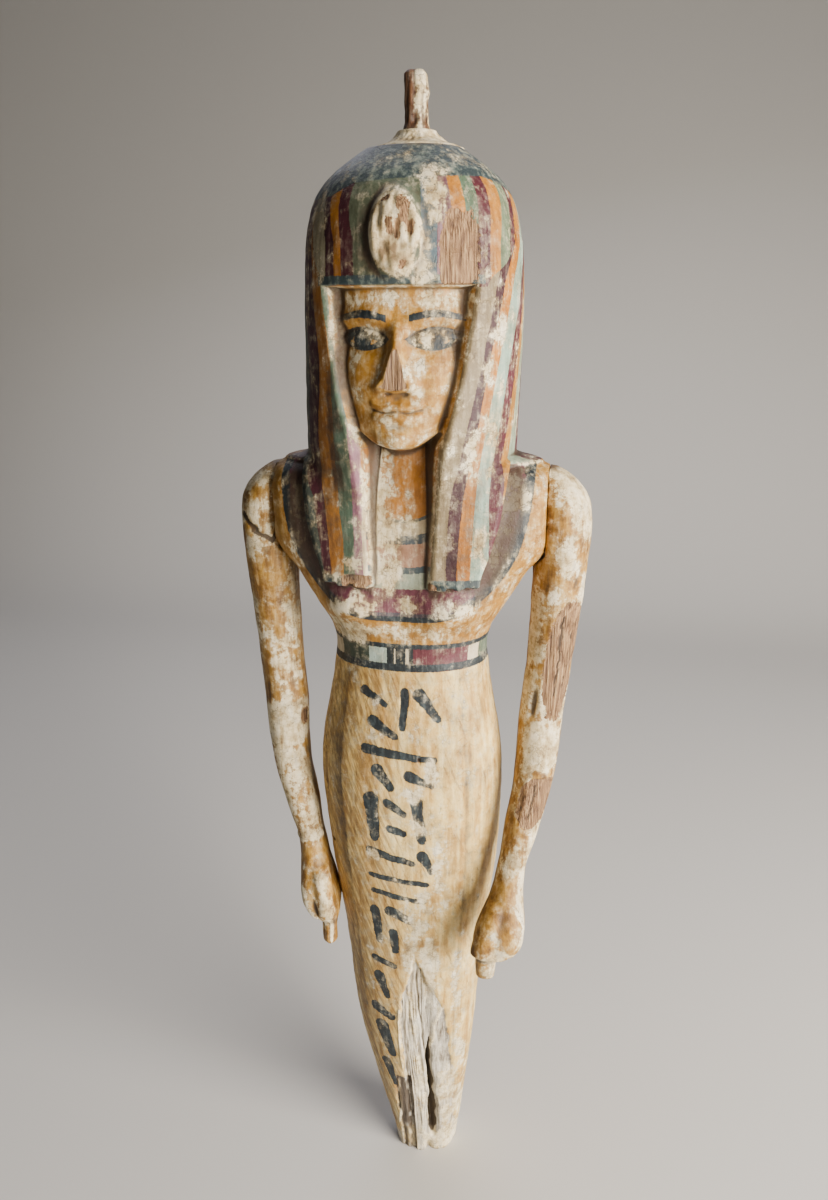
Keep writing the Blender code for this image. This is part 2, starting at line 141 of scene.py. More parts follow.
pegShape = {
    "columns": 72,
    "rows": 110,
    "width": 11.2 * mm,
    "depth": 12.8 * mm,
    "rise": 23.2 * mm,
    "clearance": 0.3 * mm,
    "pocket": 7.0 * mm,
    "squareness": 3.2,
    "moundRise": 7.6 * mm,
    "moundWall": 1.3 * mm,
    "moundSpread": 11.5 * mm,
    "offset": 1.2 * mm,
    # along the peg from its foot: share of its length, width, depth and sideways shift
    "profile": [
        (0, 1, 1, 0), (0.24, 1, 1, 0), (0.36, 0.92, 0.92, 0), (0.6, 0.98, 0.95, -0.02),
        (0.74, 1.06, 0.97, 0.02), (0.86, 1, 0.96, -0.02), (0.96, 0.92, 0.88, -0.03), (1, 0.7, 0.66, -0.03),
    ],
    "moundFall": [(0, 1), (0.05, 1), (0.34, 0.48), (0.66, 0.16), (1, 0)],  # (share of its rise, spread)
}


def through(points, at):
    # monotone cubic through (level, size) pairs
    knots, sizes = (np.array(column, float) for column in zip(*points))
    steps = np.diff(knots)
    rises = np.diff(sizes) / steps
    slopes = np.concatenate([rises[:1], np.zeros(len(rises) - 1), rises[-1:]])
    sameWay = rises[:-1] * rises[1:] > 0
    pairs = rises[:-1] + rises[1:]
    slopes[1:-1][sameWay] = (2 * rises[:-1] * rises[1:])[sameWay] / pairs[sameWay]
    at = np.clip(np.asarray(at, float), knots[0], knots[-1])
    span = np.clip(np.searchsorted(knots, at) - 1, 0, len(steps) - 1)
    t = (at - knots[span]) / steps[span]
    bow = t * t * (3 - 2 * t)
    start = slopes[span] * steps[span] * t * (1 - t) ** 2
    end = slopes[span + 1] * steps[span] * t * t * (1 - t)
    return sizes[span] * (1 - bow) + sizes[span + 1] * bow + start - end


def profile(name, level):
    return through(figureShape[name], level)


def ramp(value, low, high):
    # smooth step from 0 at low to 1 at high
    t = np.clip((value - low) / (high - low), 0, 1)
    return t * t * (3 - 2 * t)


def bump(distance, reach):
    # bell curve: 1 at no distance, a third at its reach
    return np.exp(-((distance / reach) ** 2))


def oval(turn, width, front, back, roundness):
    # superellipse: how far out it lies at each turn, with one depth in front and another behind
    depth = np.where(np.cos(turn) > 0, front, back)
    across = np.abs(np.sin(turn)) / width
    along = np.abs(np.cos(turn)) / depth
    return (across**roundness + along**roundness) ** (-1 / roundness)


def rough(x, y, z, size, seed=0):
    # lattice noise from -1 to 1, smooth over cells of this size (one size, or one for each axis)
    sizes = np.broadcast_to(np.asarray(size, float), (3,))
    place = np.stack(np.broadcast_arrays(x / sizes[0], y / sizes[1], z / sizes[2]))
    cell = np.floor(place).astype(np.int64)
    part = place - cell
    part = part * part * (3 - 2 * part)
    total = 0.0
    for corner in range(8):
        step = [corner >> axis & 1 for axis in range(3)]
        mixed = (cell[0] + step[0]) * 73856093 ^ (cell[1] + step[1]) * 19349663
        mixed = mixed ^ (cell[2] + step[2]) * 83492791 ^ (seed + 11) * 2654435761
        mixed = (mixed ^ mixed >> 13) * 1274126177 & 0x7FFFFFFF
        share = 1.0
        for axis in range(3):
            share = share * (part[axis] if step[axis] else 1 - part[axis])
        total = total + share * ((mixed >> 9 & 0xFFFF) / 32767.5 - 1)
    return total


def roughFace(x, z, wide, high, seed):
    # the same noise over a face seen from the front
    return rough(x, 0 * x, z, (wide, 1, high), seed)


def strokeDepth(x, z, strokes):
    # mm inside the nearest stroke: each is (x0, z0, x1, z1, half width, taper)
    depth = np.full_like(x, -9.0)
    for x0, z0, x1, z1, half, taper in strokes:
        dx, dz = x1 - x0, z1 - z0
        t = np.clip(((x - x0) * dx + (z - z0) * dz) / (dx * dx + dz * dz), 0, 1)
        width = half * (1 - taper * t)
        depth = np.maximum(depth, width - np.hypot(x - x0 - dx * t, z - z0 - dz * t))
    return depth


facePlan = {
    # x in mm from the middle, up as a share from the chin (0) to the wig (1)
    "eyeX": 15.5,
    "eyeUp": 0.695,
    "eyeHalfLong": 9.6,
    "eyeHalfHigh": 0.055,
    "browUp": 0.805,
    "mouthUp": 0.270,
    "mouthHalf": 12.0,
    "noseBreak": 5.0,
    "tall": 69,  # mm from the chin to the wig
}


def eyeShape(x, up):
    # 1 in the middle of the eye, 0 on its almond rim, below 0 outside
    f = facePlan
    long = (np.abs(x) - f["eyeX"]) / f["eyeHalfLong"]
    high = (up - f["eyeUp"] - 0.006 * long) / f["eyeHalfHigh"]
    return 1 - np.abs(long) ** 1.7 - np.abs(high) ** 1.5


def faceRelief(x, up):
    # calm, generic carving on textbook proportions: a sum of bells and ramps, in mm over the plain oval
    f = facePlan
    side = np.abs(x)
    browLine = f["browUp"] + 0.030 * bump(side - 16, 11) - 0.012
    relief = 1.5 * bump(up - browLine, 0.050) * ramp(side, 2, 8) * ramp(33 - side, 0, 6)
    relief -= 3.5 * bump(up - 0.705, 0.088) * bump(side - 15.5, 9.8)
    relief -= 1.3 * bump(up - 0.72, 0.06) * bump(side - 7.2, 3.2)
    eye = eyeShape(x, up)
    relief += 2.6 * ramp(eye, -0.45, 1.0)
    relief += 0.55 * bump(eye - 0.02, 0.20) * np.where(up > f["eyeUp"], 1.0, 0.6)
    bridge = ramp(up, 0.372, 0.425) * ramp(0.84 - up, 0.0, 0.12)
    nose = (3.0 + 6.8 * ramp(0.80 - up, 0.0, 0.38)) * bridge
    nose = nose * bump(x, 3.6 + 2.4 * ramp(0.62 - up, 0.0, 0.22))
    nose += 2.7 * bump(up - 0.418, 0.040) * bump(side - 6.2, 2.7)
    broken = f["noseBreak"] + 0.35 * roughFace(x, up, 0.9, 0.5, 3) + 0.5 * ramp(up, 0.45, 0.7)
    relief += np.minimum(nose, broken)
    relief -= 1.0 * bump(up - 0.378, 0.016) * bump(side - 4.0, 1.7)
    relief -= 0.5 * bump(x, 1.7) * bump(up - 0.335, 0.030)
    inMouth = np.clip(1 - (x / f["mouthHalf"]) ** 2, 0, 1) ** 0.7
    parting = f["mouthUp"] - 0.010 * bump(side - 5, 4) + 0.006 * ramp(side, 6, 12)
    relief += 2.2 * bump(up - parting - 0.032 + 0.008 * bump(x, 2), 0.026) * inMouth
    relief += 2.5 * bump(up - parting + 0.036, 0.030) * inMouth ** 1.4
    relief -= 1.5 * bump(up - parting, 0.011) * ramp(f["mouthHalf"] + 0.8 - side, 0, 2.5)
    relief -= 0.9 * bump(side - f["mouthHalf"] - 0.8, 2.4) * bump(up - parting, 0.030)
    relief -= 0.9 * bump(x, 8) * bump(up - 0.170, 0.028)
    relief += 2.3 * bump(up - 0.085, 0.085) * bump(x, 9.5)
    relief += 1.5 * bump(up - 0.46, 0.15) * bump(side - 19, 9)
    return relief, nose - broken


def torso(turn, level):
    # rounded oval of each level, plus two breasts as bells in front and a shallow cleft behind
    shell = oval(turn, profile("bodyWidth", level), profile("bodyFront", level), profile("bodyBack", level),
                 profile("bodyRoundness", level))
    across = shell * np.sin(turn)
    breasts = 0.0125 * bump(level - 0.638, 0.019) * bump(np.abs(across) - 0.040, 0.023)
    cleft = -0.0040 * bump(across, 0.010) * (bump(level - 0.400, 0.040) + bump(level - 0.440, 0.050))
    return shell + np.where(np.cos(turn) > 0, breasts, cleft)


decayPlan = {
    # edges, middles and half widths across the front, as (level, mm)
    "innerEdge": [(0, -8), (0.11, -6), (0.2, -5.2), (0.27, 3.4), (0.3, 5)],
    "outerEdge": [(0, 21), (0.1, 23), (0.19, 22), (0.22, 17), (0.27, 6), (0.3, 4)],
    "slotMiddle": [(0.02, 9), (0.06, 9.8), (0.1, 10.2), (0.13, 9.8), (0.17, 11.5)],
    "slotHalf": [
        (0.018, 0.4), (0.035, 2.9), (0.06, 2.9), (0.078, 2.2), (0.088, 1.2), (0.1, 2.1), (0.118, 1.2),
        (0.135, 1.6), (0.165, 0.5),
    ],
    "crackMiddle": [(0.14, 8.6), (0.19, 7), (0.235, 5.2), (0.262, 5.4)],
    # depths in mm
    "lost": 1.5,
    "lower": 1.5,
    "slot": 7.5,
    "crack": 1.6,
    "footChip": 3.3,
    "shaved": 2.2,
}


def decay(turn, level):
    # the rotten front of the lower legs: sunk field, standing ridges, open slot, crack and chipped foot,
    # each a depth in mm times ramps across and up
    d = decayPlan
    radius = oval(turn, profile("bodyWidth", level), profile("bodyFront", level), 0.04, 2.3)
    x = radius * np.sin(turn) * figureShape["height"] / mm
    z = level * figureShape["height"] / mm
    front = ramp(np.cos(turn), 0.0, 0.3)
    ragged = 0.9 * roughFace(x, z, 9, 7, 5) + 0.5 * roughFace(x, z, 3, 2.4, 6)
    inside = x - through(d["innerEdge"], level) + ragged
    outside = through(d["outerEdge"], level) - x + ragged
    lost = ramp(np.minimum(inside, outside), -0.5, 1.3) * ramp(0.278 - level, 0.0, 0.02)
    fibres = 0.8 * np.abs(roughFace(x, z, 1.3, 14, 8)) + 0.5 * roughFace(x, z, 2.2, 26, 7)
    fibres = fibres * ramp(15 - x, 0, 3) * ramp(z, 10, 28)
    depth = lost * (d["lost"] + 0.9 * bump(x - 8.5, 4.5) - 0.5 * ramp(x, 12, 15) + fibres)
    lower = ramp(0.112 - level, 0.0, 0.006) * ramp(-2.0 - x, 0.0, 1.6) * ramp(x + 12.5 + ragged, 0, 1.2)
    depth += d["lower"] * lower
    slotHalf = through(d["slotHalf"], level) + 0.3 * ragged
    slot = ramp(slotHalf - np.abs(x - through(d["slotMiddle"], level)), -0.5, 0.7)
    slot = slot * ramp(level, 0.020, 0.032) * ramp(0.17 - level, 0, 0.01)
    depth += d["slot"] * slot
    crackMiddle = through(d["crackMiddle"], level) + 0.5 * ragged
    crack = bump(x - crackMiddle, 0.7) * ramp(level, 0.135, 0.15) * ramp(0.262 - level, 0, 0.02)
    depth += d["crack"] * crack
    depth += d["footChip"] * bump(x - 5.5, 2.6) * ramp(0.020 - level, 0.0, 0.018)
    shaved = d["shaved"] * ramp(-np.sin(turn), 0.3, 0.9) * ramp(0.10 - level, 0.0, 0.09)
    return (front * depth + shaved) * mm / figureShape["height"], lost, slot, lower


def headRadius(turn, level):
    # the head's oval plus the relief of the face, cut off along a curved jaw over the oval of the neck
    tall = figureShape["hairline"] - figureShape["chin"]
    plain = oval(turn, profile("faceWidth", level), profile("faceFront", level), 0.03, 2.35)
    x = plain * np.sin(turn) * figureShape["height"] / mm
    relief, noseBreak = faceRelief(x, (level - figureShape["chin"]) / tall)
    carved = plain + relief * mm / figureShape["height"] * ramp(np.cos(turn), 0.1, 0.5)
    neck = oval(turn, 0.0365, 0.0500, 0.03, 2.0)
    jaw = figureShape["chin"] + figureShape["jawRise"] * (x / 27.5) ** 2
    above = ramp(level, jaw - 0.004, jaw + 0.006)
    return neck + (np.maximum(carved, neck) - neck) * above, noseBreak


def hairOver(turn, level, under):
    # the wig's oval, at least one thickness over what it covers, and a 0 to 1 share of where it covers:
    # beside the face opening, down the lappets and the back hair, over the shoulders and the brow
    s = figureShape
    step = s["edgeStep"]
    thick = under + s["hairThickness"]
    shell = oval(turn, *(profile(name, level) for name in ("wigWidth", "wigFront", "wigBack")), 2.25)
    near = np.clip(1 - np.abs(shell - under - s["hairThickness"]) / 0.012, 0, 1)
    padded = np.maximum(shell, thick)
    shell = np.where(level < s["hairline"] + 0.004, padded, shell)
    shell = np.where(level < 0.80, padded + 0.003 * near * near, shell)
    side = np.abs(shell * np.sin(turn))
    front = np.cos(turn) > 0
    openEdge = ramp(side - profile("opening", level), -step, step)
    fringe = ramp(level, s["hairline"] - 0.002, s["hairline"] + 0.002)
    overShoulder = ramp(level, 0.756, 0.762)
    lappet = ramp(profile("lappetOutside", level) - side, -step, step)
    fray = 0.0016 * rough(side * s["height"] / mm, np.sign(turn), 0 * side, (2.4, 1, 1), 12)
    lappet = lappet * ramp(level + fray, s["lappetEnd"] - 0.0012, s["lappetEnd"] + 0.0012)
    inFront = np.maximum(openEdge, fringe) * np.maximum(lappet, overShoulder)
    behind = ramp(s["backHairSide"] - side, -step, step)
    behind = behind * ramp(level, s["backHairEnd"] - 0.0015, s["backHairEnd"] + 0.0015)
    return shell, np.where(front, inFront, np.maximum(behind, overShoulder))


def bareRadius(turn, level):
    # the decayed body, blended into the neck and head above the shoulders
    under = torso(turn, level) - decay(turn, level)[0]
    above = ramp(level, 0.758, 0.778)
    head = headRadius(turn, level)[0]
    return np.maximum(under * (1 - above) + head * above, head * np.sqrt(above))


def ringTurns(level, spans):
    # columns of one ring keep to the edges of the face opening, the lappets and the back hair
    s = figureShape
    fan = np.linspace(0, math.pi / 2, 181)
    at = np.full_like(fan, min(max(level, s["lappetEnd"] + 0.002), s["hairline"]))
    shell = hairOver(fan, at, bareRadius(fan, at))[0]
    side = np.maximum.accumulate(shell * np.sin(fan))
    outside = min(float(profile("lappetOutside", at[0])), 0.93 * side[-1])
    opening = float(profile("opening", at[0]))
    step = s["edgeStep"]
    front = np.interp([opening - step, opening + step, outside - step, outside + step], side, fan)
    shell = hairOver(math.pi - fan, at, bareRadius(math.pi - fan, at))[0]
    side = np.maximum.accumulate(shell * np.sin(fan))
    hem = min(s["backHairSide"], 0.93 * side[-1])
    back = math.pi - np.interp([hem + step, hem - step], side, fan)
    knots = np.concatenate([[0.0], front, [math.pi / 2], back, [math.pi]])
    pieces = [np.linspace(low, high, n, endpoint=False) for low, high, n in zip(knots, knots[1:], spans)]
    half = np.concatenate(pieces)
    return np.concatenate([-half[:0:-1], half, [math.pi]])


def putInScene(name, data):
    thing = bpy.data.objects.new(name, data)
    bpy.context.scene.collection.objects.link(thing)
    return thing


def closedSkin(name, points, fields, materials, slots=None):
    # rows of points around the piece become quads, and the first and last rows close on a middle point
    rows, columns = points.shape[:2]
    ends = np.stack([points[0].mean(0), points[-1].mean(0)])
    places = np.concatenate([points.reshape(-1, 3), ends])
    first = np.arange(columns)
    second = (first + 1) % columns
    rowStart = np.arange(rows - 1)[:, None] * columns
    low, right = rowStart + first, rowStart + second
    quads = np.stack([low, right, right + columns, low + columns], -1).reshape(-1, 4)
    bottom = np.stack([second, first, np.full(columns, rows * columns)], -1)
    lastRow = (rows - 1) * columns
    top = np.stack([lastRow + first, lastRow + second, np.full(columns, rows * columns + 1)], -1)
    mesh = bpy.data.meshes.new(name)
    mesh.from_pydata(places, [], quads.tolist() + bottom.tolist() + top.tolist())
    for fieldName, grid in fields.items():
        values = np.concatenate([grid.ravel(), [grid[0].mean(), grid[-1].mean()]]).astype(np.float32)
        mesh.attributes.new(fieldName, "FLOAT", "POINT").data.foreach_set("value", values)
    for material in materials:
        mesh.materials.append(material)
    if slots is not None:
        caps = [np.full(columns, slots[row, 0]) for row in (0, -1)]
        ofFace = np.concatenate([slots.ravel(), *caps])
        mesh.polygons.foreach_set("material_index", ofFace.astype(np.int32))
    mesh.shade_smooth()
    mesh.update()
    return putInScene(name, mesh)


def hexColour(code):
    # sRGB hex to the linear colour that a shader takes
    parts = [int(code[i:i + 2], 16) / 255 for i in (1, 3, 5)]
    return [c / 12.92 if c <= 0.04045 else ((c + 0.055) / 1.055) ** 2.4 for c in parts] + [1.0]


# the setting whose value may stand after a node's kind
mainSetting = {"Math": "operation", "Mix": "data_type", "MapRange": "interpolation_type",
               "TexVoronoi": "feature", "Attribute": "attribute_name"}


def addNode(tree, kind, *inputs, give="", steps=(), smooth=True, **settings):
    # one node with its settings, its open inputs in order (link, number or hex colour; None leaves one)
    # and its colour steps as (start, hex); gives the output of that name, or else the first
    kind, *main = kind.split()
    node = tree.nodes.new("ShaderNode" + kind)
    for value in main:
        setattr(node, mainSetting[kind], value)
    for setting, value in settings.items():
        setattr(node, setting, value)
    for socket, value in zip([socket for socket in node.inputs if socket.enabled], inputs):
        if isinstance(value, bpy.types.NodeSocket):
            tree.links.new(value, socket)
        elif value is not None:
            socket.default_value = hexColour(value) if isinstance(value, str) else value
    if steps:
        bar = node.color_ramp
        bar.interpolation = "LINEAR" if smooth else "CONSTANT"
        while len(bar.elements) < len(steps):
            bar.elements.new(1.0)
        for element, (start, code) in zip(bar.elements, steps):
            element.position = start
            element.color = hexColour(code)
    return [socket for socket in node.outputs if socket.enabled and give in ("", socket.name)][0]


def addUp(add, start, *terms):
    # start plus each value times its weight
    for value, weight in terms:
        start = add("Math MULTIPLY_ADD", value, weight, start)
    return start


def grainNoise(add, place, sizes, detail=3.0, roughness=0.55):
    # a pattern whose features are this large along x, y and z, in mm
    scale = [1 / (size * mm) for size in np.broadcast_to(sizes, (3,))]
    return add("TexNoise", add("Mapping", place, None, None, scale), 1.0, detail, roughness)


def layOver(add, below, above, edge, low, high):
    # the colour below where the edge field is short of low, and the one above where it is past high
    return add("Mix RGBA", add("MapRange SMOOTHSTEP", edge, low, high), below, above)


# chalk gesso brushed on carved wood and painted with glue paint: dry, matt and chipped to the grain
finishes = {
    "gesso": [(0.18, "#80694A"), (0.38, "#BAA57B"), (0.54, "#DDCEA8"), (0.78, "#F2E8CC")],
    "gessoCrack": "#6A5740",
    "crackSpacing": 5.0,  # mm
    "wood": [(0.3, "#35241A"), (0.45, "#77573B"), (0.58, "#A5835C"), (0.74, "#CCAE84")],
    "ash": [(0.28, "#776C5D"), (0.42, "#B3A996"), (0.58, "#DAD3C3"), (0.75, "#F0EBDF")],
    # dirt colour: for pits and real dirt, and for painted shade in hollows, recesses and on the shaded side
    "dirtAndShade": "#3E2F22",
    "dirtAndShadeShare": 0.90,
    "sootShare": 0.34,
    "dust": "#BBAE96",
    "dustShare": 0.30,
    "fading": [(0.22, "#A79B8E"), (0.45, "#DDD6CE"), (0.7, "#FFFFFF")],
    "ink": ["#1C2327", "#394346"],
    "slate": ["#2F3B3D", "#6B766D"],
    "paintRoughness": 0.55,
    "bareRougher": 0.28,  # how much rougher gesso and bare fibre are than paint
    "paintBump": 0.40,  # mm
}


def layeredFinish(name, paint, gessoBlotch=7.0, ink="ink"):
    # bare wood, then chalk gesso, then matt paint: each layer is lost along ragged edges
    f = finishes
    material = bpy.data.materials.new(name)
    material.use_nodes = True
    tree = material.node_tree
    shader = tree.nodes["Principled BSDF"]
    add = partial(addNode, tree)
    place = add("TexCoord", give="Object")
    kinds = ((1.6, 4.0, 0.65), (4.5, 5.0, 0.68), (10.0, 6.0, 0.62), ((2.6, 2.6, 24.0), 5.0, 0.62))
    fine, ragged, blotch, runs = (add("Math SUBTRACT", grainNoise(add, place, *kind), 0.5) for kind in kinds)
    tone = grainNoise(add, place, 15.0, 4.0, 0.6)
    speck = grainNoise(add, place, 1.0, 2.0, 0.5)

    # paint, with its dark lines and the painted shade of the holes over it, faded and dusty
    colour = paint(add, place, fine, ragged)
    uneven = addUp(add, tone, (runs, 0.9))
    tint = add("ValToRGB", uneven, steps=f["fading"])
    colour = add("Mix RGBA", 0.9, colour, tint, blend_type="MULTIPLY")
    dust = addUp(add, 0.02, (runs, 0.8), (ragged, 0.8))
    colour = add("Mix RGBA", add("Clamp", dust, 0.0, f["dustShare"]), colour, f["dust"])
    faded = add("MapRange SMOOTHSTEP", add("Math ADD", ragged, runs), -0.10, 0.20)
    darkColour = add("Mix RGBA", faded, *f[ink])
    inkAndHoleShade = addUp(add, add("Attribute dark", give="Fac"), (fine, 1.6))
    colour = layOver(add, colour, darkColour, inkAndHoleShade, -0.12, 0.25)

    # cream gesso with brown toning and a net of cracks
    crackScale = add("Mapping", place, None, None, [1 / (f["crackSpacing"] * mm)] * 3)
    wander = add("VectorMath", crackScale, add("TexNoise", crackScale, 1.4, 3.0, give="Color"))
    cracks = add("TexVoronoi DISTANCE_TO_EDGE", wander, 1.0)
    crackLine = add("MapRange SMOOTHSTEP", addUp(add, cracks, (fine, 0.05)), 0.038, 0.0)
    crackLine = add("Math MULTIPLY", crackLine, add("MapRange SMOOTHSTEP", blotch, -0.06, 0.08))
    gessoTone = addUp(add, tone, (runs, 0.7), (ragged, 1.0))
    gesso = add("ValToRGB", gessoTone, steps=f["gesso"])
    gesso = add("Mix RGBA", add("Math MULTIPLY", crackLine, 0.6), gesso, f["gessoCrack"])
    ashTone = addUp(add, grainNoise(add, place, (1.4, 1.4, 16.0), 4.0, 0.65), (blotch, 0.5))
    ash = add("ValToRGB", ashTone, steps=f["ash"])
    grain = grainNoise(add, place, (0.75, 0.75, 17.0), 5.0, 0.62)
    wood = add("ValToRGB", grain, steps=f["wood"])

    gessoEdge = add("Attribute gesso", give="Fac")
    gessoEdge = addUp(add, gessoEdge, (blotch, gessoBlotch * 2), (ragged, 7.0), (fine, 5.0), (runs, 5.0))
    thin = add("Math MULTIPLY", add("MapRange SMOOTHSTEP", gessoEdge, -2.6, 0.4), 0.38)
    gessoShare = add("Math MAXIMUM", thin, add("MapRange SMOOTHSTEP", gessoEdge, -0.20, 0.24))
    woodEdge = addUp(add, add("Attribute wood", give="Fac"), (fine, 2.4), (ragged, 4.5))
    woodShare = add("MapRange SMOOTHSTEP", woodEdge, -0.15, 0.18)
    ashEdge = addUp(add, add("Attribute ash", give="Fac"), (ragged, 6.0))
    ashShare = add("MapRange SMOOTHSTEP", ashEdge, -0.6, 0.9)
    colour = add("Mix RGBA", ashShare, colour, ash)
    colour = add("Mix RGBA", gessoShare, colour, gesso)
    pits = add("MapRange SMOOTHSTEP", speck, 0.64, 0.74)
    pits = add("Math MAXIMUM", pits, add("MapRange SMOOTHSTEP", grain, 0.60, 0.76))
    colour = add("Mix RGBA", add("Math MULTIPLY", pits, 0.42), colour, f["dirtAndShade"])
    sootAndShade = add("MapRange SMOOTHSTEP", addUp(add, blotch, (runs, 0.8)), 0.02, 0.30)
    colour = add("Mix RGBA", woodShare, colour, wood)
    # toward the dirt colour by the grime attribute: real dirt and stains, and painted shade in hollows,
    # creases, recesses and down the shaded side
    dirtAndShade = addUp(add, add("Attribute grime", give="Fac"), (ragged, 1.6))
    dirtAndShade = add("Math MULTIPLY", add("MapRange SMOOTHSTEP", dirtAndShade, 0.15, 1.4), f["dirtAndShadeShare"])
    dirtAndShade = add("Math MAXIMUM", dirtAndShade, add("Math MULTIPLY", sootAndShade, f["sootShare"]))
    colour = add("Mix RGBA", dirtAndShade, colour, f["dirtAndShade"])
    tree.links.new(colour, shader.inputs["Base Color"])

    bare = add("Math MAXIMUM", gessoShare, ashShare)
    roughness = addUp(add, f["paintRoughness"], (fine, 0.30), (bare, f["bareRougher"]))
    tree.links.new(roughness, shader.inputs["Roughness"])
    shader.inputs["Specular IOR Level"].default_value = 0.45
    height = add("Math MULTIPLY", gessoShare, -0.45)
    height = addUp(add, height, (crackLine, -0.35), (blotch, 1.4), (ragged, 0.9), (speck, 0.28))
    coarse = add("Math MULTIPLY", ashShare, addUp(add, 0.6, (gessoShare, -0.55)))
    coarse = add("Math MAXIMUM", woodShare, coarse)
    height = add("Math MULTIPLY_ADD", coarse, addUp(add, -2.4, (grain, 3.6)), height)
    tree.links.new(add("Bump", 1.0, f["paintBump"] * mm, None, height), shader.inputs["Normal"])
    return material


wigPlan = {
    # stripes from the face opening round to the back, with the turn in degrees where each starts, by level
    # the first two right-hand colours, along the lappet's inner side, are their paint darkened with painted
    # shade
    "rightCodes": [
        "#857759", "#3A141E", "#B0701A", "#93AB9C", "#56202D", "#AE7A2C", "#93A490", "#50262F", "#A87A36",
        "#BDB498", "#56695A", "#50262F", "#A87A36", "#56695A", "#56695A",
    ],
    "right": [
        [(0.66, 0)],
        [(0.67, 31.8), (0.734, 34), (0.77, 38.5), (0.842, 45.8), (0.898, 52.8), (0.935, 64), (0.95, 72)],
        [(0.67, 37.5), (0.734, 41.3), (0.77, 44.6), (0.842, 50), (0.898, 58.5), (0.935, 72), (0.95, 79)],
        [(0.67, 44.5), (0.734, 47.6), (0.77, 49.8), (0.842, 56.3), (0.898, 66), (0.935, 80), (0.95, 87)],
        [(0.67, 52.5), (0.734, 53.8), (0.77, 59), (0.842, 65.7), (0.898, 78), (0.935, 92), (0.95, 96)],
        [(0.67, 57.2), (0.734, 58.8), (0.77, 65.7), (0.842, 74.7), (0.898, 86), (0.935, 100)],
        [(0.67, 62), (0.734, 64), (0.77, 71.5), (0.842, 81), (0.898, 93), (0.935, 106)],
        [(0.66, 77), (0.69, 78), (0.77, 81), (0.842, 90), (0.898, 101), (0.935, 113)],
        [(0.66, 99), (0.77, 100), (0.842, 103), (0.898, 110), (0.935, 120)],
        [(0.66, 112), (0.898, 122), (0.935, 128)], [(0.66, 124), (0.898, 132), (0.935, 136)],
        [(0.66, 137), (0.898, 143)], [(0.66, 152), (0.898, 155)], [(0.66, 167), (0.898, 168)],
        [(0.66, 179.5)], [(0.66, 181)],
    ],
    "leftCodes": [
        "#C2B697", "#93677A", "#566B5A", "#A8722C", "#47202A", "#444E48", "#47202A", "#8F602D", "#4E5F4C",
        "#BDB498", "#50262F", "#A87A36", "#BDB498", "#50262F", "#56695A",
    ],
    "left": [
        [(0.66, 0)], [(0.66, 24.6), (0.73, 26), (0.77, 25.5), (0.8, 27), (0.83, 31), (0.842, 32)],
        [(0.66, 29.5), (0.7, 31), (0.73, 31), (0.77, 29.2), (0.81, 30.5), (0.842, 33), (0.898, 38)],
        [(0.66, 36.8), (0.697, 38), (0.73, 40.5), (0.77, 39.5), (0.842, 37.7), (0.898, 43.5), (0.935, 46)],
        [(0.66, 44.2), (0.697, 46.7), (0.73, 49.7), (0.77, 52.3), (0.842, 46.5), (0.898, 51), (0.935, 53)],
        [(0.66, 47.5), (0.697, 50.5), (0.73, 54), (0.77, 64.2), (0.842, 59), (0.898, 64.7), (0.935, 66)],
        [(0.66, 63), (0.69, 64), (0.77, 72), (0.842, 68), (0.898, 74), (0.935, 77)],
        [(0.66, 72), (0.69, 74), (0.77, 83), (0.842, 80), (0.898, 86), (0.935, 90)],
        [(0.66, 99), (0.77, 100), (0.935, 104)], [(0.66, 112), (0.898, 116)], [(0.66, 124), (0.898, 128)],
        [(0.66, 137), (0.898, 140)], [(0.66, 152), (0.898, 153)], [(0.66, 167), (0.898, 168)],
        [(0.66, 179.5)], [(0.66, 181)],
    ],
    "browCodes": [
        "#50262F", "#ADA98F", "#47202A", "#99651E", "#451D26", "#586250", "#586250", "#566A74", "#75505C",
        "#B07422", "#566C56", "#52202C", "#B27826", "#6C7E64", "#52202C", "#B07828",
    ],
    "brow": [
        [(0.93, -181)], [(0.93, -51), (0.948, -53.2), (0.9615, -56)],
        [(0.93, -39.7), (0.947, -42.5), (0.9615, -46)], [(0.93, -34), (0.947, -37.5), (0.9615, -41)],
        [(0.93, -29.5), (0.947, -32), (0.9615, -34)], [(0.93, -22.2), (0.947, -25.5), (0.9615, -27)],
        [(0.93, -11.5), (0.947, -12), (0.9615, -13.5)], [(0.93, 12.7), (0.9615, 13.5)],
        [(0.93, 20.8), (0.9615, 22.3)], [(0.93, 29), (0.9615, 28.7)], [(0.93, 36), (0.9615, 36.5)],
        [(0.93, 41.5), (0.9615, 44.2)], [(0.93, 49), (0.9615, 52)], [(0.93, 56), (0.9615, 61.5)],
        [(0.93, 64.7), (0.9615, 70)], [(0.93, 68.5), (0.9615, 75)], [(0.93, 181)],
    ],
    "fringeUp": 496.4,  # mm, the dark hem over the brow
    "fringeHalf": 1.9,
    "lappetHem": 0.6665,  # dark below these levels
    "backHem": 0.681,
    # where the brow stripes give way to the side stripes, in degrees
    "browEndRight": [(0.898, 47), (0.9027, 49), (0.9145, 60.5), (0.9355, 72), (0.95, 80), (0.965, 86)],
    "browEndLeft": [(0.898, 38), (0.9027, 41), (0.9145, 48.5), (0.926, 51.5), (0.948, 53.5), (0.965, 56)],
    "fillet": [
        (-180, 0.958), (-90, 0.962), (-41, 0.9625), (-28, 0.9705), (0, 0.9725), (53, 0.975), (70, 0.9705),
        (90, 0.964), (180, 0.958),
    ],
}


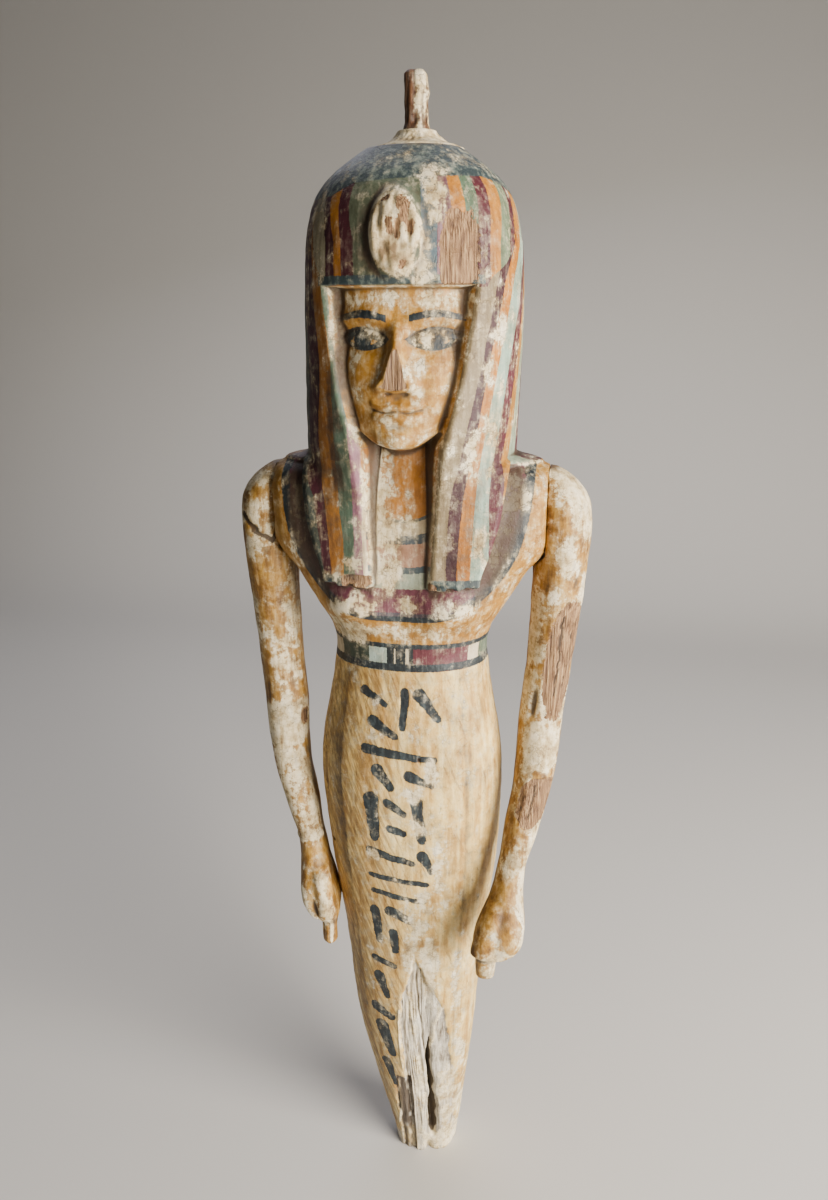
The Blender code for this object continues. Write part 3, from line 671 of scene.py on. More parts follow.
def stripePaint(add, place, fine, ragged):
    # dry brushed stripes: the side ones by the side they are on, the brow ones across the front
    w = wigPlan
    shift = add("Math MULTIPLY", fine, 0.16)

    def striped(name, codes):
        count = add("Math ADD", add("Attribute " + name, give="Fac"), shift)
        steps = [(i / len(codes), code) for i, code in enumerate(codes)]
        return add("ValToRGB", add("Math DIVIDE", count, len(codes)), steps=steps, smooth=False)

    right = striped("stripe", w["rightCodes"])
    left = striped("stripe", w["leftCodes"])
    x = add("SeparateXYZ", place, give="X")
    sides = layOver(add, left, right, x, -0.0001, 0.0001)
    brow = striped("brow", w["browCodes"])
    section = addUp(add, add("Attribute section", give="Fac"), (fine, 0.8))
    return layOver(add, sides, brow, section, -0.1, 0.1)


bodyPlan = {
    "skin": "#A87827",
    "skinLight": "#C9A252",
    "dress": [(0.28, "#BC9248"), (0.44, "#DCB86C"), (0.56, "#EED289"), (0.74, "#FAE6A8")],
    "streak": "#8C6A3C",
    "streakTurn": 0.38,  # how far the dark runs lean, in radians
    "collarCodes": [
        (0, "#AE7428"), (0.352, "#59605E"), (0.374, "#B9AB8B"), (0.452, "#4E585E"), (0.505, "#AE876E"),
        (0.645, "#4E5B60"), (0.685, "#A0AB98"), (0.785, "#6A3C4A"), (0.935, "#4C4650"), (0.962, "#283236"),
    ],
    "beltCodes": [
        (0, "#5C6A58"), (0.2, "#5A2731"), (0.28, "#C9C0A5"), (0.333, "#3A473C"), (0.413, "#A9BDB3"),
        (0.4597, "#20282B"), (0.477, "#CFC4A6"), (0.4835, "#20282B"), (0.51, "#CFC4A6"),
        (0.5165, "#20282B"), (0.531, "#5A2731"), (0.663, "#CFC4A6"), (0.695, "#5C6A58"), (0.8, "#5A2731"),
    ],
    "beltMiddle": 324.9,  # mm up
    "beltHalf": 7.2,
    "beltLines": [(330.9, 1.3), (319.8, 2.0)],  # dark rims: mm up, half width
    "collarTop": 420,  # mm up, and its reach outwards and down from there
    "collarWide": 60,
    "collarDeep": 76,
}


def bodyPaint(add, place, fine, ragged):
    # ochre skin, broad collar, belt and pale dress
    b = bodyPlan
    zmm = add("Math MULTIPLY", add("SeparateXYZ", place, give="Z"), 1 / mm)
    skin = layOver(add, b["skin"], b["skinLight"], ragged, -0.1, 0.2)
    collar = addUp(add, add("Attribute collar", give="Fac"), (fine, 0.02))
    collarColour = add("ValToRGB", collar, steps=b["collarCodes"], smooth=False)
    skin = layOver(add, skin, collarColour, collar, 1.003, 0.997)
    dressTone = addUp(add, grainNoise(add, place, (5.0, 5.0, 36.0), 5.0, 0.6), (ragged, 0.4))
    dress = add("ValToRGB", dressTone, steps=b["dress"])
    turned = add("Mapping", place, None, (0.0, b["streakTurn"], 0.0))
    streak = grainNoise(add, turned, (1.8, 3.0, 30.0), 5.0, 0.66)
    streak = addUp(add, streak, (add("Attribute streaked", give="Fac"), 0.16))
    streak = add("Math MULTIPLY", add("MapRange SMOOTHSTEP", streak, 0.56, 0.72), 0.7)
    dress = add("Mix RGBA", streak, dress, b["streak"])
    under = add("Math ADD", add("Math SUBTRACT", b["beltMiddle"], zmm), fine)
    colour = layOver(add, skin, dress, under, -0.2, 0.2)
    belt = addUp(add, add("Attribute belt", give="Fac"), (fine, 0.004))
    belt = add("ValToRGB", belt, steps=b["beltCodes"], smooth=False)
    fromMiddle = add("Math ABSOLUTE", add("Math SUBTRACT", zmm, b["beltMiddle"]))
    inBelt = add("Math ADD", add("Math SUBTRACT", b["beltHalf"], fromMiddle), fine)
    return layOver(add, colour, belt, inBelt, -0.2, 0.2)


def armPaint(add, place, fine, ragged):
    # worn ochre skin
    warm = addUp(add, grainNoise(add, place, (4.0, 4.0, 14.0), 4.0, 0.6), (ragged, 0.6))
    steps = [(0.22, "#5C4424"), (0.42, "#9A702B"), (0.54, "#B58C3C"), (0.66, "#CBA75F"), (0.85, "#D9BE82")]
    return add("ValToRGB", warm, steps=steps)


def woodPaint(add, place, fine, ragged):
    # no paint: dark weathered wood with its grain upright
    grain = grainNoise(add, place, (0.9, 0.9, 12.0), 5.0, 0.6)
    return add("ValToRGB", grain, steps=[(0.3, "#2B1A11"), (0.5, "#5A3C28"), (0.7, "#8A6243")])


def patches(x, z, spots):
    # depth in mm inside the nearest of some rounded patches: each is (x, z, half width, half height, cap)
    depth = np.full_like(x, -30.0)
    for x0, z0, halfWide, halfHigh, *cap in spots:
        out = (np.abs((x - x0) / halfWide) ** 2.4 + np.abs((z - z0) / halfHigh) ** 2.4) ** (1 / 2.4)
        inside = (1 - out) * min(halfWide, halfHigh)
        depth = np.maximum(depth, np.minimum(inside, cap[0]) if cap else inside)
    return depth


def hollows(radius):
    # how far each point lies under the mean of its neighbours
    around = 0.0
    rows = np.arange(len(radius))
    for step in (2, 5):
        for move in (-step, step):
            around = around + radius[np.clip(rows + move, 0, len(rows) - 1)] + np.roll(radius, move, axis=1)
    return around / 8 - radius


def bandPlace(turnDegrees, level, edges):
    # which stripe, counted along the edges of each row
    lines = np.stack([through(edge, level[:, 0]) if len(edge) > 1 else np.full(len(level), edge[0][1], float)
                      for edge in edges], 1)
    return np.stack([np.interp(row, line, np.arange(len(edges))) for row, line in zip(turnDegrees, lines)])


figurePlan = {
    "rowRuns": [
        (0, 0.29, 110), (0.29, 0.572, 98), (0.572, 0.61, 22), (0.61, 0.654, 26), (0.654, 0.6745, 16),
        (0.6745, 0.745, 34), (0.745, 0.768, 22), (0.768, 0.895, 104), (0.895, 0.901, 8), (0.901, 0.962, 36),
        (0.962, 0.978, 14), (0.978, 1, 22),
    ],
    "columnSpans": (40, 3, 16, 3, 8, 9, 2, 12),
    "moundRows": 18,
    "bossLevel": 0.935,  # the oval boss over the brow, in shares of the height
    "bossHalfWide": 0.0185,
    "bossHalfHigh": 0.0305,
    "bossRise": 0.0100,
    "sound": (-5.2, -3.5, -3.9),  # how far from flaking off the paint is on wig, skin and dress
    # patches in mm, across from the middle and up
    "browWood": [(25.6, 506, 7.8, 17.5)],
    "bossWood": [
        (3.6, 525.5, 3, 3.8), (4.4, 520.5, 1.9, 3.6), (-1.7, 516.5, 1.6, 3.8), (1.4, 515, 1.5, 4),
        (7, 515.5, 2, 3.2), (4, 501.5, 1.9, 3), (-3.8, 527.5, 2.2, 1.8),
    ],
    "lappetWood": [(-20.5, 364.6, 7.5, 3.6), (16, 362.6, 2.8, 2.2)],
    "dressWood": [(-43.5, 252, 1.2, 18)],
    # with a fifth number the patch is half worn: the lower it is, the less gesso shows
    "wigGesso": [
        (15.5, 527, 4, 8, 0.8), (-2, 539, 16, 1.6, -2.4), (12, 536, 5, 2.5, 0.4), (10.8, 505, 2, 9),
        (-29, 366, 6, 3), (40.5, 452, 1.6, 20, -0.8), (-17, 385, 3, 18, -0.9), (33, 422, 2, 8, 0.6),
        (38, 368, 4, 6, 0.2), (36, 384, 2, 5, 0.6), (-21, 372, 5, 4, 1), (-37, 515, 4, 16, -1.6),
        (24, 470, 1.6, 20, -0.8),
    ],
    "skinGesso": [
        (10, 473, 4, 3, 0.4), (9, 455, 3, 7, -0.4), (0, 441, 8, 4, 0.3), (-11, 489, 10, 2.6, 0.3),
        (18, 489, 10, 2.6, 0.4), (-12, 476, 4, 2, -0.2), (25, 446, 2, 9, -0.2), (2, 430, 6, 2, 0),
        (-20, 452, 3, 10, -1.6), (-9, 396, 5, 26, 1.4), (-8, 378, 8, 18, 1.4), (1, 391, 6, 4, 0.6),
        (27, 351, 8, 3.5, 0.5), (-20, 352, 9, 5, 0.9), (-31, 345, 6, 8, 1), (3, 352, 4, 3),
        (0, 338, 24, 3, 0.5), (-26, 336, 9, 6, 1), (44, 384, 5, 16, 0.3), (50, 404, 6, 8, 0.8),
        (-49, 386, 6, 16, 0.1), (-42, 404, 9, 6, 0.4),
    ],
    "dressGesso": [
        (4.5, 252, 5.5, 3.2, 1), (9.5, 254.5, 3, 3), (-14.7, 215.5, 2.4, 2.6), (8.6, 233, 2.6, 4.4),
        (-12, 284, 2.4, 1.9, 0.6), (16, 262, 3, 6, 0.4), (10, 187, 5, 7.5, 0.7), (8, 170, 4.5, 11),
        (12, 146, 5, 22), (20, 205, 3.5, 18, 0.2), (-7, 8, 5, 9), (12, 8, 10, 9), (26.5, 92, 1.2, 28, 0.6),
        (1.5, 140, 2, 34, 0.8), (2.5, 50, 2.6, 30, 0.9), (19, 40, 6, 28, 0.9),
    ],
    # raised white edges of the flaking, as strokes: across, up, across, up, half width, taper
    "flakes": [
        (18.5, 114, 14, 101.5, 0.9, 0.1), (14, 101.5, 13.3, 93, 0.9, 0.1), (13.3, 93, 8.5, 81, 0.9, 0.3),
        (-5.4, 112, -6.8, 75.5, 0.7, 0.1), (-6.8, 75.5, -4.7, 60, 0.6, 0.3),
        (-10.2, 57, -9.8, 34, 0.7, 0.1), (-9.8, 34, -12.5, 18, 0.7, 0.4),
    ],
    # painted shade in the hollow above the foot, and a darker run down the left lappet
    "sootAndShade": [(-7.4, 38, 2.6, 19), (-28.5, 440, 4.5, 34)],
    "holes": [(-43, 211.5, 1, 1), (9.6, 272, 0.9, 0.8)],
    # dark patches: stains, and painted shade down the left side, along the right lappet's inner side and
    # beside the boss
    "stainAndShade": [
        (20.5, 92, 5.5, 24), (-2, 356, 4, 3), (17, 400, 3, 46), (-48, 384, 7, 20), (-12, 512, 5, 16),
        (-20, 366, 8, 5), (-4, 412, 5, 14), (-28, 468, 5, 34), (-24, 424, 4, 22),
    ],
}

# rows of plain brush strokes down the dress, none of them a sign: across, up, across, up, half width, taper
strokePlan = {
    "strokes": [
        (-19, 306, -8, 300, 2.6, 0.4), (-14, 291, -3, 284, 3.2, 0.35), (2, 307, 1, 289, 2.4, 0.2),
        (9, 306, 18, 293, 3.4, 0.5), (-18, 276, 17, 272, 2.9, 0.35), (-12, 265, -5, 256, 3.6, 0.35),
        (5, 263, 16, 258, 3.4, 0.5), (-16, 248, -15, 226, 4.2, 0.35), (-7, 247, 1, 241, 2.8, 0.3),
        (-6, 232, 1, 230, 2.6, 0.2), (8, 248, 10, 226, 3.3, 0.3), (-18, 217, 5, 212, 2.9, 0.4),
        (10, 217, 14, 207, 3, 0.4), (-18, 202, 12, 199, 1.8, 0.1), (-17, 192, 10, 188, 1.8, 0.1),
        (-17, 179, -15, 159, 3.2, 0.4), (-8, 180, 3, 175, 3.4, 0.3), (-7, 166, -6, 154, 2.9, 0.3),
        (-18, 146, -7, 143, 2.6, 0.3), (-16, 134, -12, 121, 3.6, 0.4), (-19, 111, -10, 106, 3.6, 0.3),
        (-16, 98, -12, 78, 4.4, 0.4), (-16, 70, -12, 52, 3.4, 0.6),
    ],
    "depth": 0.22,
}


def figureFields(turn, level):
    # radius of the figure, and its painted and worn fields: mm inside each patch or line, below 0 outside
    p, b = figurePlan, bodyPlan
    tall = figureShape["height"] / mm
    under = bareRadius(turn, level)
    shell, covered = hairOver(turn, level, under)
    radius = under + (shell - under) * covered
    bossUp = (level - p["bossLevel"]) / p["bossHalfHigh"]
    boss = 1 - np.hypot(radius * np.sin(turn) / p["bossHalfWide"], bossUp)
    boss = np.where(np.cos(turn) > 0.3, boss, -9.0)
    radius = radius + p["bossRise"] * ramp(boss, -0.25, 0.35) * ramp(np.cos(turn), 0.3, 0.7)
    x = radius * np.sin(turn) * tall
    z = level * tall
    front = np.cos(turn) > -0.05
    degrees = np.degrees(turn)
    wavy = roughFace(x, z, 6.0, 6.0, 21)
    inWig = covered > 0.5

    wood = np.where(front & inWig, patches(x, z, p["browWood"]), -9.0)
    onBoss = ramp(boss, 0.0, 0.3)
    lappetEnds = (level < 0.669) & (level > 0.650)
    areas = {"bossWood": inWig & (boss > 0.1), "lappetWood": lappetEnds, "dressWood": level < 0.55}
    for key, area in areas.items():
        wood = np.where(front & area, np.maximum(wood, patches(x, z, p[key])), wood)
    noseBreak = headRadius(turn, level)[1]
    onFace = front & ~inWig & (level > figureShape["chin"])
    noseWood = np.clip(noseBreak, -9, 2) * 1.6 - 2.5 * ramp(np.abs(x), 2.6, 5.0)
    wood = np.where(onFace, np.maximum(wood, noseWood), wood)

    wigGesso = np.maximum(patches(x, z, p["wigGesso"]), 12 * (boss + 0.04))
    flakes = strokeDepth(x + 0.4 * wavy, z, p["flakes"])
    bodyGesso = np.maximum(patches(x, z, p["skinGesso"] + p["dressGesso"]), 4.0 * flakes)
    gesso = np.where(inWig, wigGesso, bodyGesso)
    gesso = np.where(front, gesso, -8.0) * 0.9
    soundWig, soundSkin, soundDress = p["sound"]
    sound = np.where(inWig, soundWig, np.where(level > 0.6, soundSkin, soundDress))
    gesso = np.maximum(gesso, sound - 0.9 * (np.cos(turn) < 0.2))
    edgeWear = 3.4 * bump(covered - 0.5, 0.33) * ramp(level, 0.655, 0.66) * (level < 0.90) - 2.6
    gesso = np.maximum(gesso, np.where(front, edgeWear, -8))

    rotten, slot, lower = decay(turn, level)[1:]
    ash = 5.0 * rotten - 3.0 + 2.5 * ramp(0.040 - level, 0, 0.03) * front
    ash = np.where(front, ash, -5.0)
    ash = np.maximum(ash, (4.0 * lower + 5.0) * front - 7.5)
    ash = np.maximum(ash, (0.018 - level) * 200)

    filletEdge = np.interp(degrees, *zip(*wigPlan["fillet"]))
    wigDark = (level - filletEdge) * tall
    fringe = wigPlan["fringeHalf"] - np.abs(z - wigPlan["fringeUp"])
    wigDark = np.where((np.abs(degrees) < 46) & front, np.maximum(wigDark, fringe), wigDark)
    hem = np.where(front, wigPlan["lappetHem"], wigPlan["backHem"])
    wigDark = np.maximum(wigDark, (hem - level) * tall)
    f = facePlan
    u = (level - figureShape["chin"]) / (figureShape["hairline"] - figureShape["chin"])
    side = np.abs(x)
    eye = eyeShape(x, u)
    lid = 2.8 - np.abs(eye * 4.2 - 0.2) * np.where(u > f["eyeUp"], 1.0, 1.7)
    overEye = (u - f["eyeUp"]) * f["tall"]
    iris = np.where(eye > 0.05, 4.2 - np.hypot(side - f["eyeX"], overEye), -9)
    tail = 1.0 - np.abs(overEye + 0.3 - (side - 24) * 0.10)
    tail = np.where((side > 23) & (side < 31), tail, -9)
    browMiddle = f["browUp"] + 0.042 * bump(side - 16, 11) - 0.002
    brow = 1.7 - 0.03 * np.abs(side - 14) - np.abs((u - browMiddle) * f["tall"])
    brow = np.where((side > 4.5) & (side < 28), brow, -9)
    faceDark = np.where(onFace, np.maximum.reduce([lid, iris, tail, brow]), -9)
    down = np.clip((b["collarTop"] - z) / b["collarDeep"], 0, 9)
    collar = (np.abs(x / b["collarWide"]) ** 2.5 + down ** 2.5) ** 0.4
    collarMean = (b["collarWide"] + b["collarDeep"]) / 2
    outer = 0.962 - 0.045 * ramp(side, 28, 46)
    collarDark = np.where(front & (level > 0.6), np.minimum(collar - outer, 1.0 - collar) * collarMean, -9)
    beltDark = np.maximum.reduce([half - np.abs(z - middle) for middle, half in b["beltLines"]])
    strokes = strokeDepth(x + 0.5 * wavy, z + 0.4 * wavy, strokePlan["strokes"])
    strokes = np.where(front & (level < 0.565), strokes + 0.25 * roughFace(x, z, 1.6, 1.6, 31), -9)
    # the holes get the dark ink colour: painted shade
    holes = np.where(front, patches(x, z, p["holes"]), -9)
    dark = np.where(inWig, wigDark, np.maximum.reduce([faceDark, collarDark, beltDark, strokes, holes]))

    # relief of the layers: sunk wood, shallow strokes, soft unevenness
    sunk = 0.9 * ramp(wood + 0.6 * wavy, -0.3, 0.9) * inWig * (1 - 0.6 * onBoss)
    ridges = roughFace(x, z, 2.1, 10, 9) + 0.6 * roughFace(x, z, 1.4, 4.5, 10)
    sunk = sunk + 1.35 * onBoss * (0.55 + ridges)
    sunk = sunk + strokePlan["depth"] * ramp(strokes, -0.4, 0.4) + 1.5 * ramp(holes, -0.2, 0.4)
    split = np.where(front, patches(x, z, p["dressWood"]), -9)
    sunk = sunk + 1.2 * ramp(split, -0.4, 0.6)
    sunk = sunk + 0.16 * (1 + wavy) + 0.07 * (1 + roughFace(x, z, 1.6, 3.0, 22))
    sunk = sunk - 0.7 * ramp(flakes, -0.5, 0.5) * front
    sunk = sunk * ramp(level, 0.0, 0.004)
    radius = radius - sunk * mm / figureShape["height"]

    right, left = (bandPlace(np.abs(degrees), level, wigPlan[key]) for key in ("right", "left"))
    browStripe = bandPlace(degrees, level, wigPlan["brow"])
    rightEnd, leftEnd = (through(wigPlan[key], level) for key in ("browEndRight", "browEndLeft"))
    end = np.where(turn > 0, rightEnd, leftEnd)
    section = np.where(level > 0.897, (end - np.abs(degrees)) * 0.8, -9.0)
    # painted shade: darker in hollows and creases, in the slot and the sunk lower field of the foot, and in
    # the holes; the soot patches darken too
    grime = hollows(radius) * tall * 1.1
    sootAndShade = ramp(patches(x, z, p["sootAndShade"]), -0.4, 1.0)
    grime = grime + (2.4 * slot + 0.8 * lower + sootAndShade) * front + 1.6 * ramp(holes, -0.3, 0.3)
    grime = grime + np.where(noseBreak > 0.1, 0.15, 0)
    # painted shade: darker down the figure's left side, on the dress and the wig
    grime = grime + (0.35 * (level < 0.56) + 0.25 * inWig) * ramp(-np.sin(turn), 0.4, 0.9)
    # stain patches: stains, and painted shade down the left side, along the right lappet's inner side and
    # beside the boss; the wig a little dirtier all over
    grime = grime + 0.5 * ramp(patches(x, z, p["stainAndShade"]), -0.5, 1.5) * front + 0.15 * inWig
    # painted shadow along the left edge of the brow boss
    grime = grime + 0.45 * bump(boss + 0.12, 0.12) * ramp(-x, -4, 8) * (boss > -1)
    fields = {"stripe": np.where(turn > 0, right, left), "brow": browStripe, "section": section,
              "dark": dark, "gesso": gesso, "wood": wood, "ash": ash, "grime": grime,
              "belt": degrees / 360 + 0.5,
              "collar": np.where(front & (level < 0.775), collar, 2.0), "streaked": ramp(-x, -6, 18) * front}
    return radius, inWig, fields


def makeFigure():
    # each point lies its radius out from the axis at its turn and level, clipped flat at the arm seats
    p, s, g = figurePlan, figureShape, pegShape
    levels = np.concatenate([np.linspace(a, b, n, endpoint=False) for a, b, n in p["rowRuns"]] + [[1.0]])
    turn = np.stack([ringTurns(level, p["columnSpans"]) for level in levels])
    level = levels[:, None] * np.ones_like(turn)
    radius, inWig, fields = figureFields(turn, level)
    height = s["height"]
    seat = s["armSeat"] * height
    x = np.clip(radius * height * np.sin(turn), -seat, seat) + profile("sideBow", level) * height
    points = [np.stack([x, -radius * height * np.cos(turn), level * height], -1)]

    # the mound and the peg's pocket go on from the crown: rings close in as they rise, then sink
    last = turn[-1]
    pocket = oval(last, g["width"] / 2, g["depth"] / 2, g["depth"] / 2, g["squareness"]) + g["clearance"]
    mouth = pocket.max() + g["moundWall"]
    rise = np.linspace(0.03, 1.0, p["moundRows"])[:, None] * np.ones_like(last)
    spread = through(g["moundFall"], rise)
    around = last[None, :] * np.ones_like(rise)
    lumps, dents = (rough(20 * np.sin(around), 20 * np.cos(around), rise * 9, size, seed)
                    for size, seed in ((5.0, 41), (2.0, 42)))
    ring = mouth + g["moundSpread"] * spread + 0.9 * mm * (lumps + 0.5 * dents) * ramp(spread, 0.0, 0.15)
    up = height + g["moundRise"] * rise
    points.append(np.stack([ring * np.sin(around) + g["offset"], -ring * np.cos(around), up], -1))
    for drop in (0.0, 0.35, 0.7, 1.0):
        down = np.full_like(last, height + g["moundRise"] - g["pocket"] * drop)
        wall = [pocket * np.sin(last) + g["offset"], -pocket * np.cos(last), down]
        points.append(np.stack(wall, -1)[None])
    points = np.clip(np.concatenate(points), *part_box("figure"))

    extra = len(points) - len(levels)
    moundX = points[len(levels):, :, 0] / mm
    moundFields = {name: np.repeat(values[-1:], extra, 0) for name, values in fields.items()}
    moundFields["gesso"] = np.full((extra, len(last)), 5.0)
    moundFields["dark"] = np.full((extra, len(last)), -9.0)
    moundFields["wood"] = -1.6 - 0.35 * (moundX + 9) + 0 * moundFields["gesso"]
    stains = roughFace(moundX, moundFields["wood"], 3.0, 3.0, 43)
    # darker towards the mound's left side, with random stains
    moundFields["grime"] = 0.25 * ramp(-moundX, 2, 12) + 0.35 * stains
    fields = {name: np.concatenate([values, moundFields[name]]) for name, values in fields.items()}
    wigRows = np.concatenate([inWig, np.ones((extra, len(last)), bool)])
    pairs = wigRows.astype(int) + np.roll(wigRows, -1, 1)
    slots = (pairs[:-1] + pairs[1:] > 2).astype(int)  # a face with three corners in the wig is wig
    body = layeredFinish("paintedGessoBody", bodyPaint)  # ochre skin and pale dress paint over gesso on wood
    wig = layeredFinish("paintedGessoWig", stripePaint, ink="slate")  # striped paint over gesso on wood
    return closedSkin("carvedFigure", points, fields, [body, wig], slots)


figure = makeFigure()
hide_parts("figure")
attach(figure, "root")
print("figure made:", len(figure.data.polygons), "faces")


armPlan = {
    # patches: turn from the front in degrees (positive outwards), mm up, half width in degrees, half height
    "right": {
        "gesso": [
            (20, 396, 75, 14, 0.9), (85, 350, 16, 20, 0.8), (10, 372, 14, 6, 0.4), (40, 330, 22, 10, 0),
            (-20, 307, 34, 18, 1.3), (0, 276, 95, 14), (-8, 240, 75, 28, 1.6), (30, 174, 15, 9),
            (60, 176, 24, 8, 0.3), (-60, 330, 20, 26, -0.4),
        ],
        "lines": [
            (-25, 192, -26, 155, 2.6, 0.1), (-70, 213, 80, 211, 1.4, 0), (5, 184, -18, 170, 0.9, 0.2),
        ],
        "wood": [(-68, 279.5, 17, 4.8), (120, 300, 20, 22)],
        "cracks": [(40, 389, -20, 377, 1.1, 0.3), (-70, 388, -20, 378, 1, 0.3)],
        "hollows": [(4, 174, 7, 5.5)],
        "stainAndShade": [
            (30, 202, 90, 7), (70, 178, 30, 22), (-75, 240, 26, 40), (0, 394, 80, 20), (-60, 350, 30, 30),
            (-20, 366, 24, 8),
        ],
    },
    "left": {
        "gesso": [
            (66, 402, 56, 20), (12, 373, 20, 12, 1.4), (75, 353, 26, 8, 1), (-42, 322, 24, 32, 1.5),
            (0, 352, 10, 8, 0.4), (10, 300, 26, 12, 0), (75, 300, 24, 14, 0.9), (25, 275, 66, 14),
            (62, 219, 30, 42, 1.5), (-5, 222, 26, 12, 0), (-60, 265, 26, 50, -0.9), (30, 165, 70, 9, 1.2),
            (62, 186, 26, 24, 1),
        ],
        "lines": [
            (40, 350, 44, 312, 1.5, 0.5), (8, 340, 12, 318, 1.2, 0.5), (66, 346, 62, 320, 1.3, 0.4),
            (-14, 258, -6, 236, 1.3, 0.4),
        ],
        "wood": [(40, 320, 50, 31), (26, 247, 56, 13)],
        "cracks": [(20, 343, 26, 302, 0.5, 0.3), (52, 338, 48, 306, 0.4, 0.3), (8, 256, 12, 240, 0.4, 0.3)],
        "hollows": [(-22, 298, 11, 10)],
        "stainAndShade": [
            (4, 299, 8, 11), (-16, 360, 18, 17), (-75, 240, 26, 70), (6, 192, 20, 12), (-60, 395, 30, 20),
        ],
    },
}


def armRadius(turn, level):
    # rounded oval, boxy at the fist, with the thumb along its front and the fingers curled under
    boxy = 2.0 + 1.3 * ramp(level, 0.302, 0.314) * ramp(0.365 - level, 0.0, 0.03)
    width = through(armShape["armHalfWidth"], level)
    depth = through(armShape["armHalfDepth"], level)
    limb = oval(turn, width, depth, depth, boxy)
    reach = through(armShape["thumbReach"], level)
    aim = turn + math.radians(armShape["thumbTurn"])
    inside = np.maximum(armShape["thumbRadius"] ** 2 - (reach * np.sin(aim)) ** 2, 0)
    thumb = (reach * np.cos(aim) + np.sqrt(inside)) * (inside > 0) * (reach > 0.012)
    return np.maximum(limb, thumb)


def ringGrid(columns, levels):
    # turns from behind round to behind, and levels, for every point of the grid
    return np.meshgrid(np.linspace(-math.pi, math.pi, columns, endpoint=False), levels)


def makeArm(name, node, side, plan, material):
    # a limb's radius round its own middle line, carried up the arm's profile and mirrored by side
    a, height = armShape, figureShape["height"]
    low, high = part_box(node)
    turn, level = ringGrid(a["columns"], np.linspace(low[2] / height, high[2] / height, a["rows"]))
    z = level * height / mm
    degrees = np.degrees(turn)
    radius = armRadius(turn, level)
    girth = a["girthRadius"] * math.pi / 180  # mm for one degree round the arm
    around = degrees * girth
    inMm = {key: [(first * girth, up, second * girth, *rest) for first, up, second, *rest in spots]
            for key, spots in plan.items()}
    gesso, wood, hollow, stainAndShade = (
        patches(around, z, inMm[key]) for key in ("gesso", "wood", "hollows", "stainAndShade"))
    wavyAround = around + 0.8 * roughFace(around, z, 3.0, 3.0, 51)
    wavyUp = z + 0.6 * roughFace(around, z, 5.0, 5.0, 52)
    lines, crack = (strokeDepth(wavyAround, wavyUp, inMm[key]) for key in ("lines", "cracks"))
    gesso = np.maximum.reduce([gesso, lines * 2.2, np.full_like(z, -3.2)])
    wavy = roughFace(around, z, 7, 9, 53 + (side > 0))
    fine = roughFace(around, z, 1.8, 5, 55)
    sunk = 0.25 * (1 + wavy) + 0.10 * (1 + fine) + 0.7 * ramp(wood + 0.8 * wavy, -0.4, 0.8)
    sunk = sunk + 1.3 * ramp(crack, -0.7, 0.7) + 1.2 * ramp(hollow, -0.6, 1.5) - 0.5 * ramp(lines, -0.5, 0.8)
    knuckles = np.abs(np.sin((degrees - 8) * math.pi / 34)) ** 0.6
    fist = ramp(level, 0.285, 0.300) * ramp(0.332 - level, 0.0, 0.012) * ramp(degrees, 12, 30)
    sunk = sunk + 1.1 * (1 - knuckles) * fist * ramp(150 - degrees, 0, 20)
    radius = radius - sunk * mm / height * ramp(0.752 - level, 0, 0.006)
    across = radius * np.sin(turn)
    forward = through(a["armForward"], level) + radius * np.cos(turn)
    if side > 0:
        across = across * through(a["leftHandWidening"], level)
        forward = forward + through(a["leftHandForward"], level)
    x = (across + through(a["armMiddle"], level)) * height
    body = np.minimum(profile("bodyWidth", np.minimum(level, 0.700)), figureShape["armSeat"])
    x = np.where(level > 0.640, np.maximum(x, body * height + 0.3 * mm), x)
    x = side * x + profile("sideBow", level) * height
    points = np.clip(np.stack([x, -forward * height, level * height], -1), low, high)
    if side < 0:
        points = points[:, ::-1]
    # painted shade: darker in hollows, in the hollow patches and on the inner side toward the body; also
    # dark cracks, and stain patches that are stains and painted shade
    grime = hollows(radius) * height / mm + 1.3 * ramp(crack, -0.5, 0.5) + 0.5 * ramp(-degrees, 50, 90)
    grime = grime + ramp(hollow, -0.5, 1.5) + 0.5 * ramp(stainAndShade, -1.5, 3.0)
    none = np.full_like(x, -9.0)
    fields = {"gesso": gesso * 0.8, "wood": wood, "dark": none, "ash": none, "grime": grime}
    if side < 0:
        fields = {key: values[:, ::-1] for key, values in fields.items()}
    arm = closedSkin(name, points, fields, [material])
    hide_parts(node)
    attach(arm, "root")
    return arm


# ochre paint worn through to gesso and wood
armFinish = layeredFinish("wornGessoArm", armPaint, gessoBlotch=9.0)
makeArm("rightArm", "right_arm", -1, armPlan["right"], armFinish)
makeArm("leftArm", "left_arm", 1, armPlan["left"], armFinish)
print("arms made")


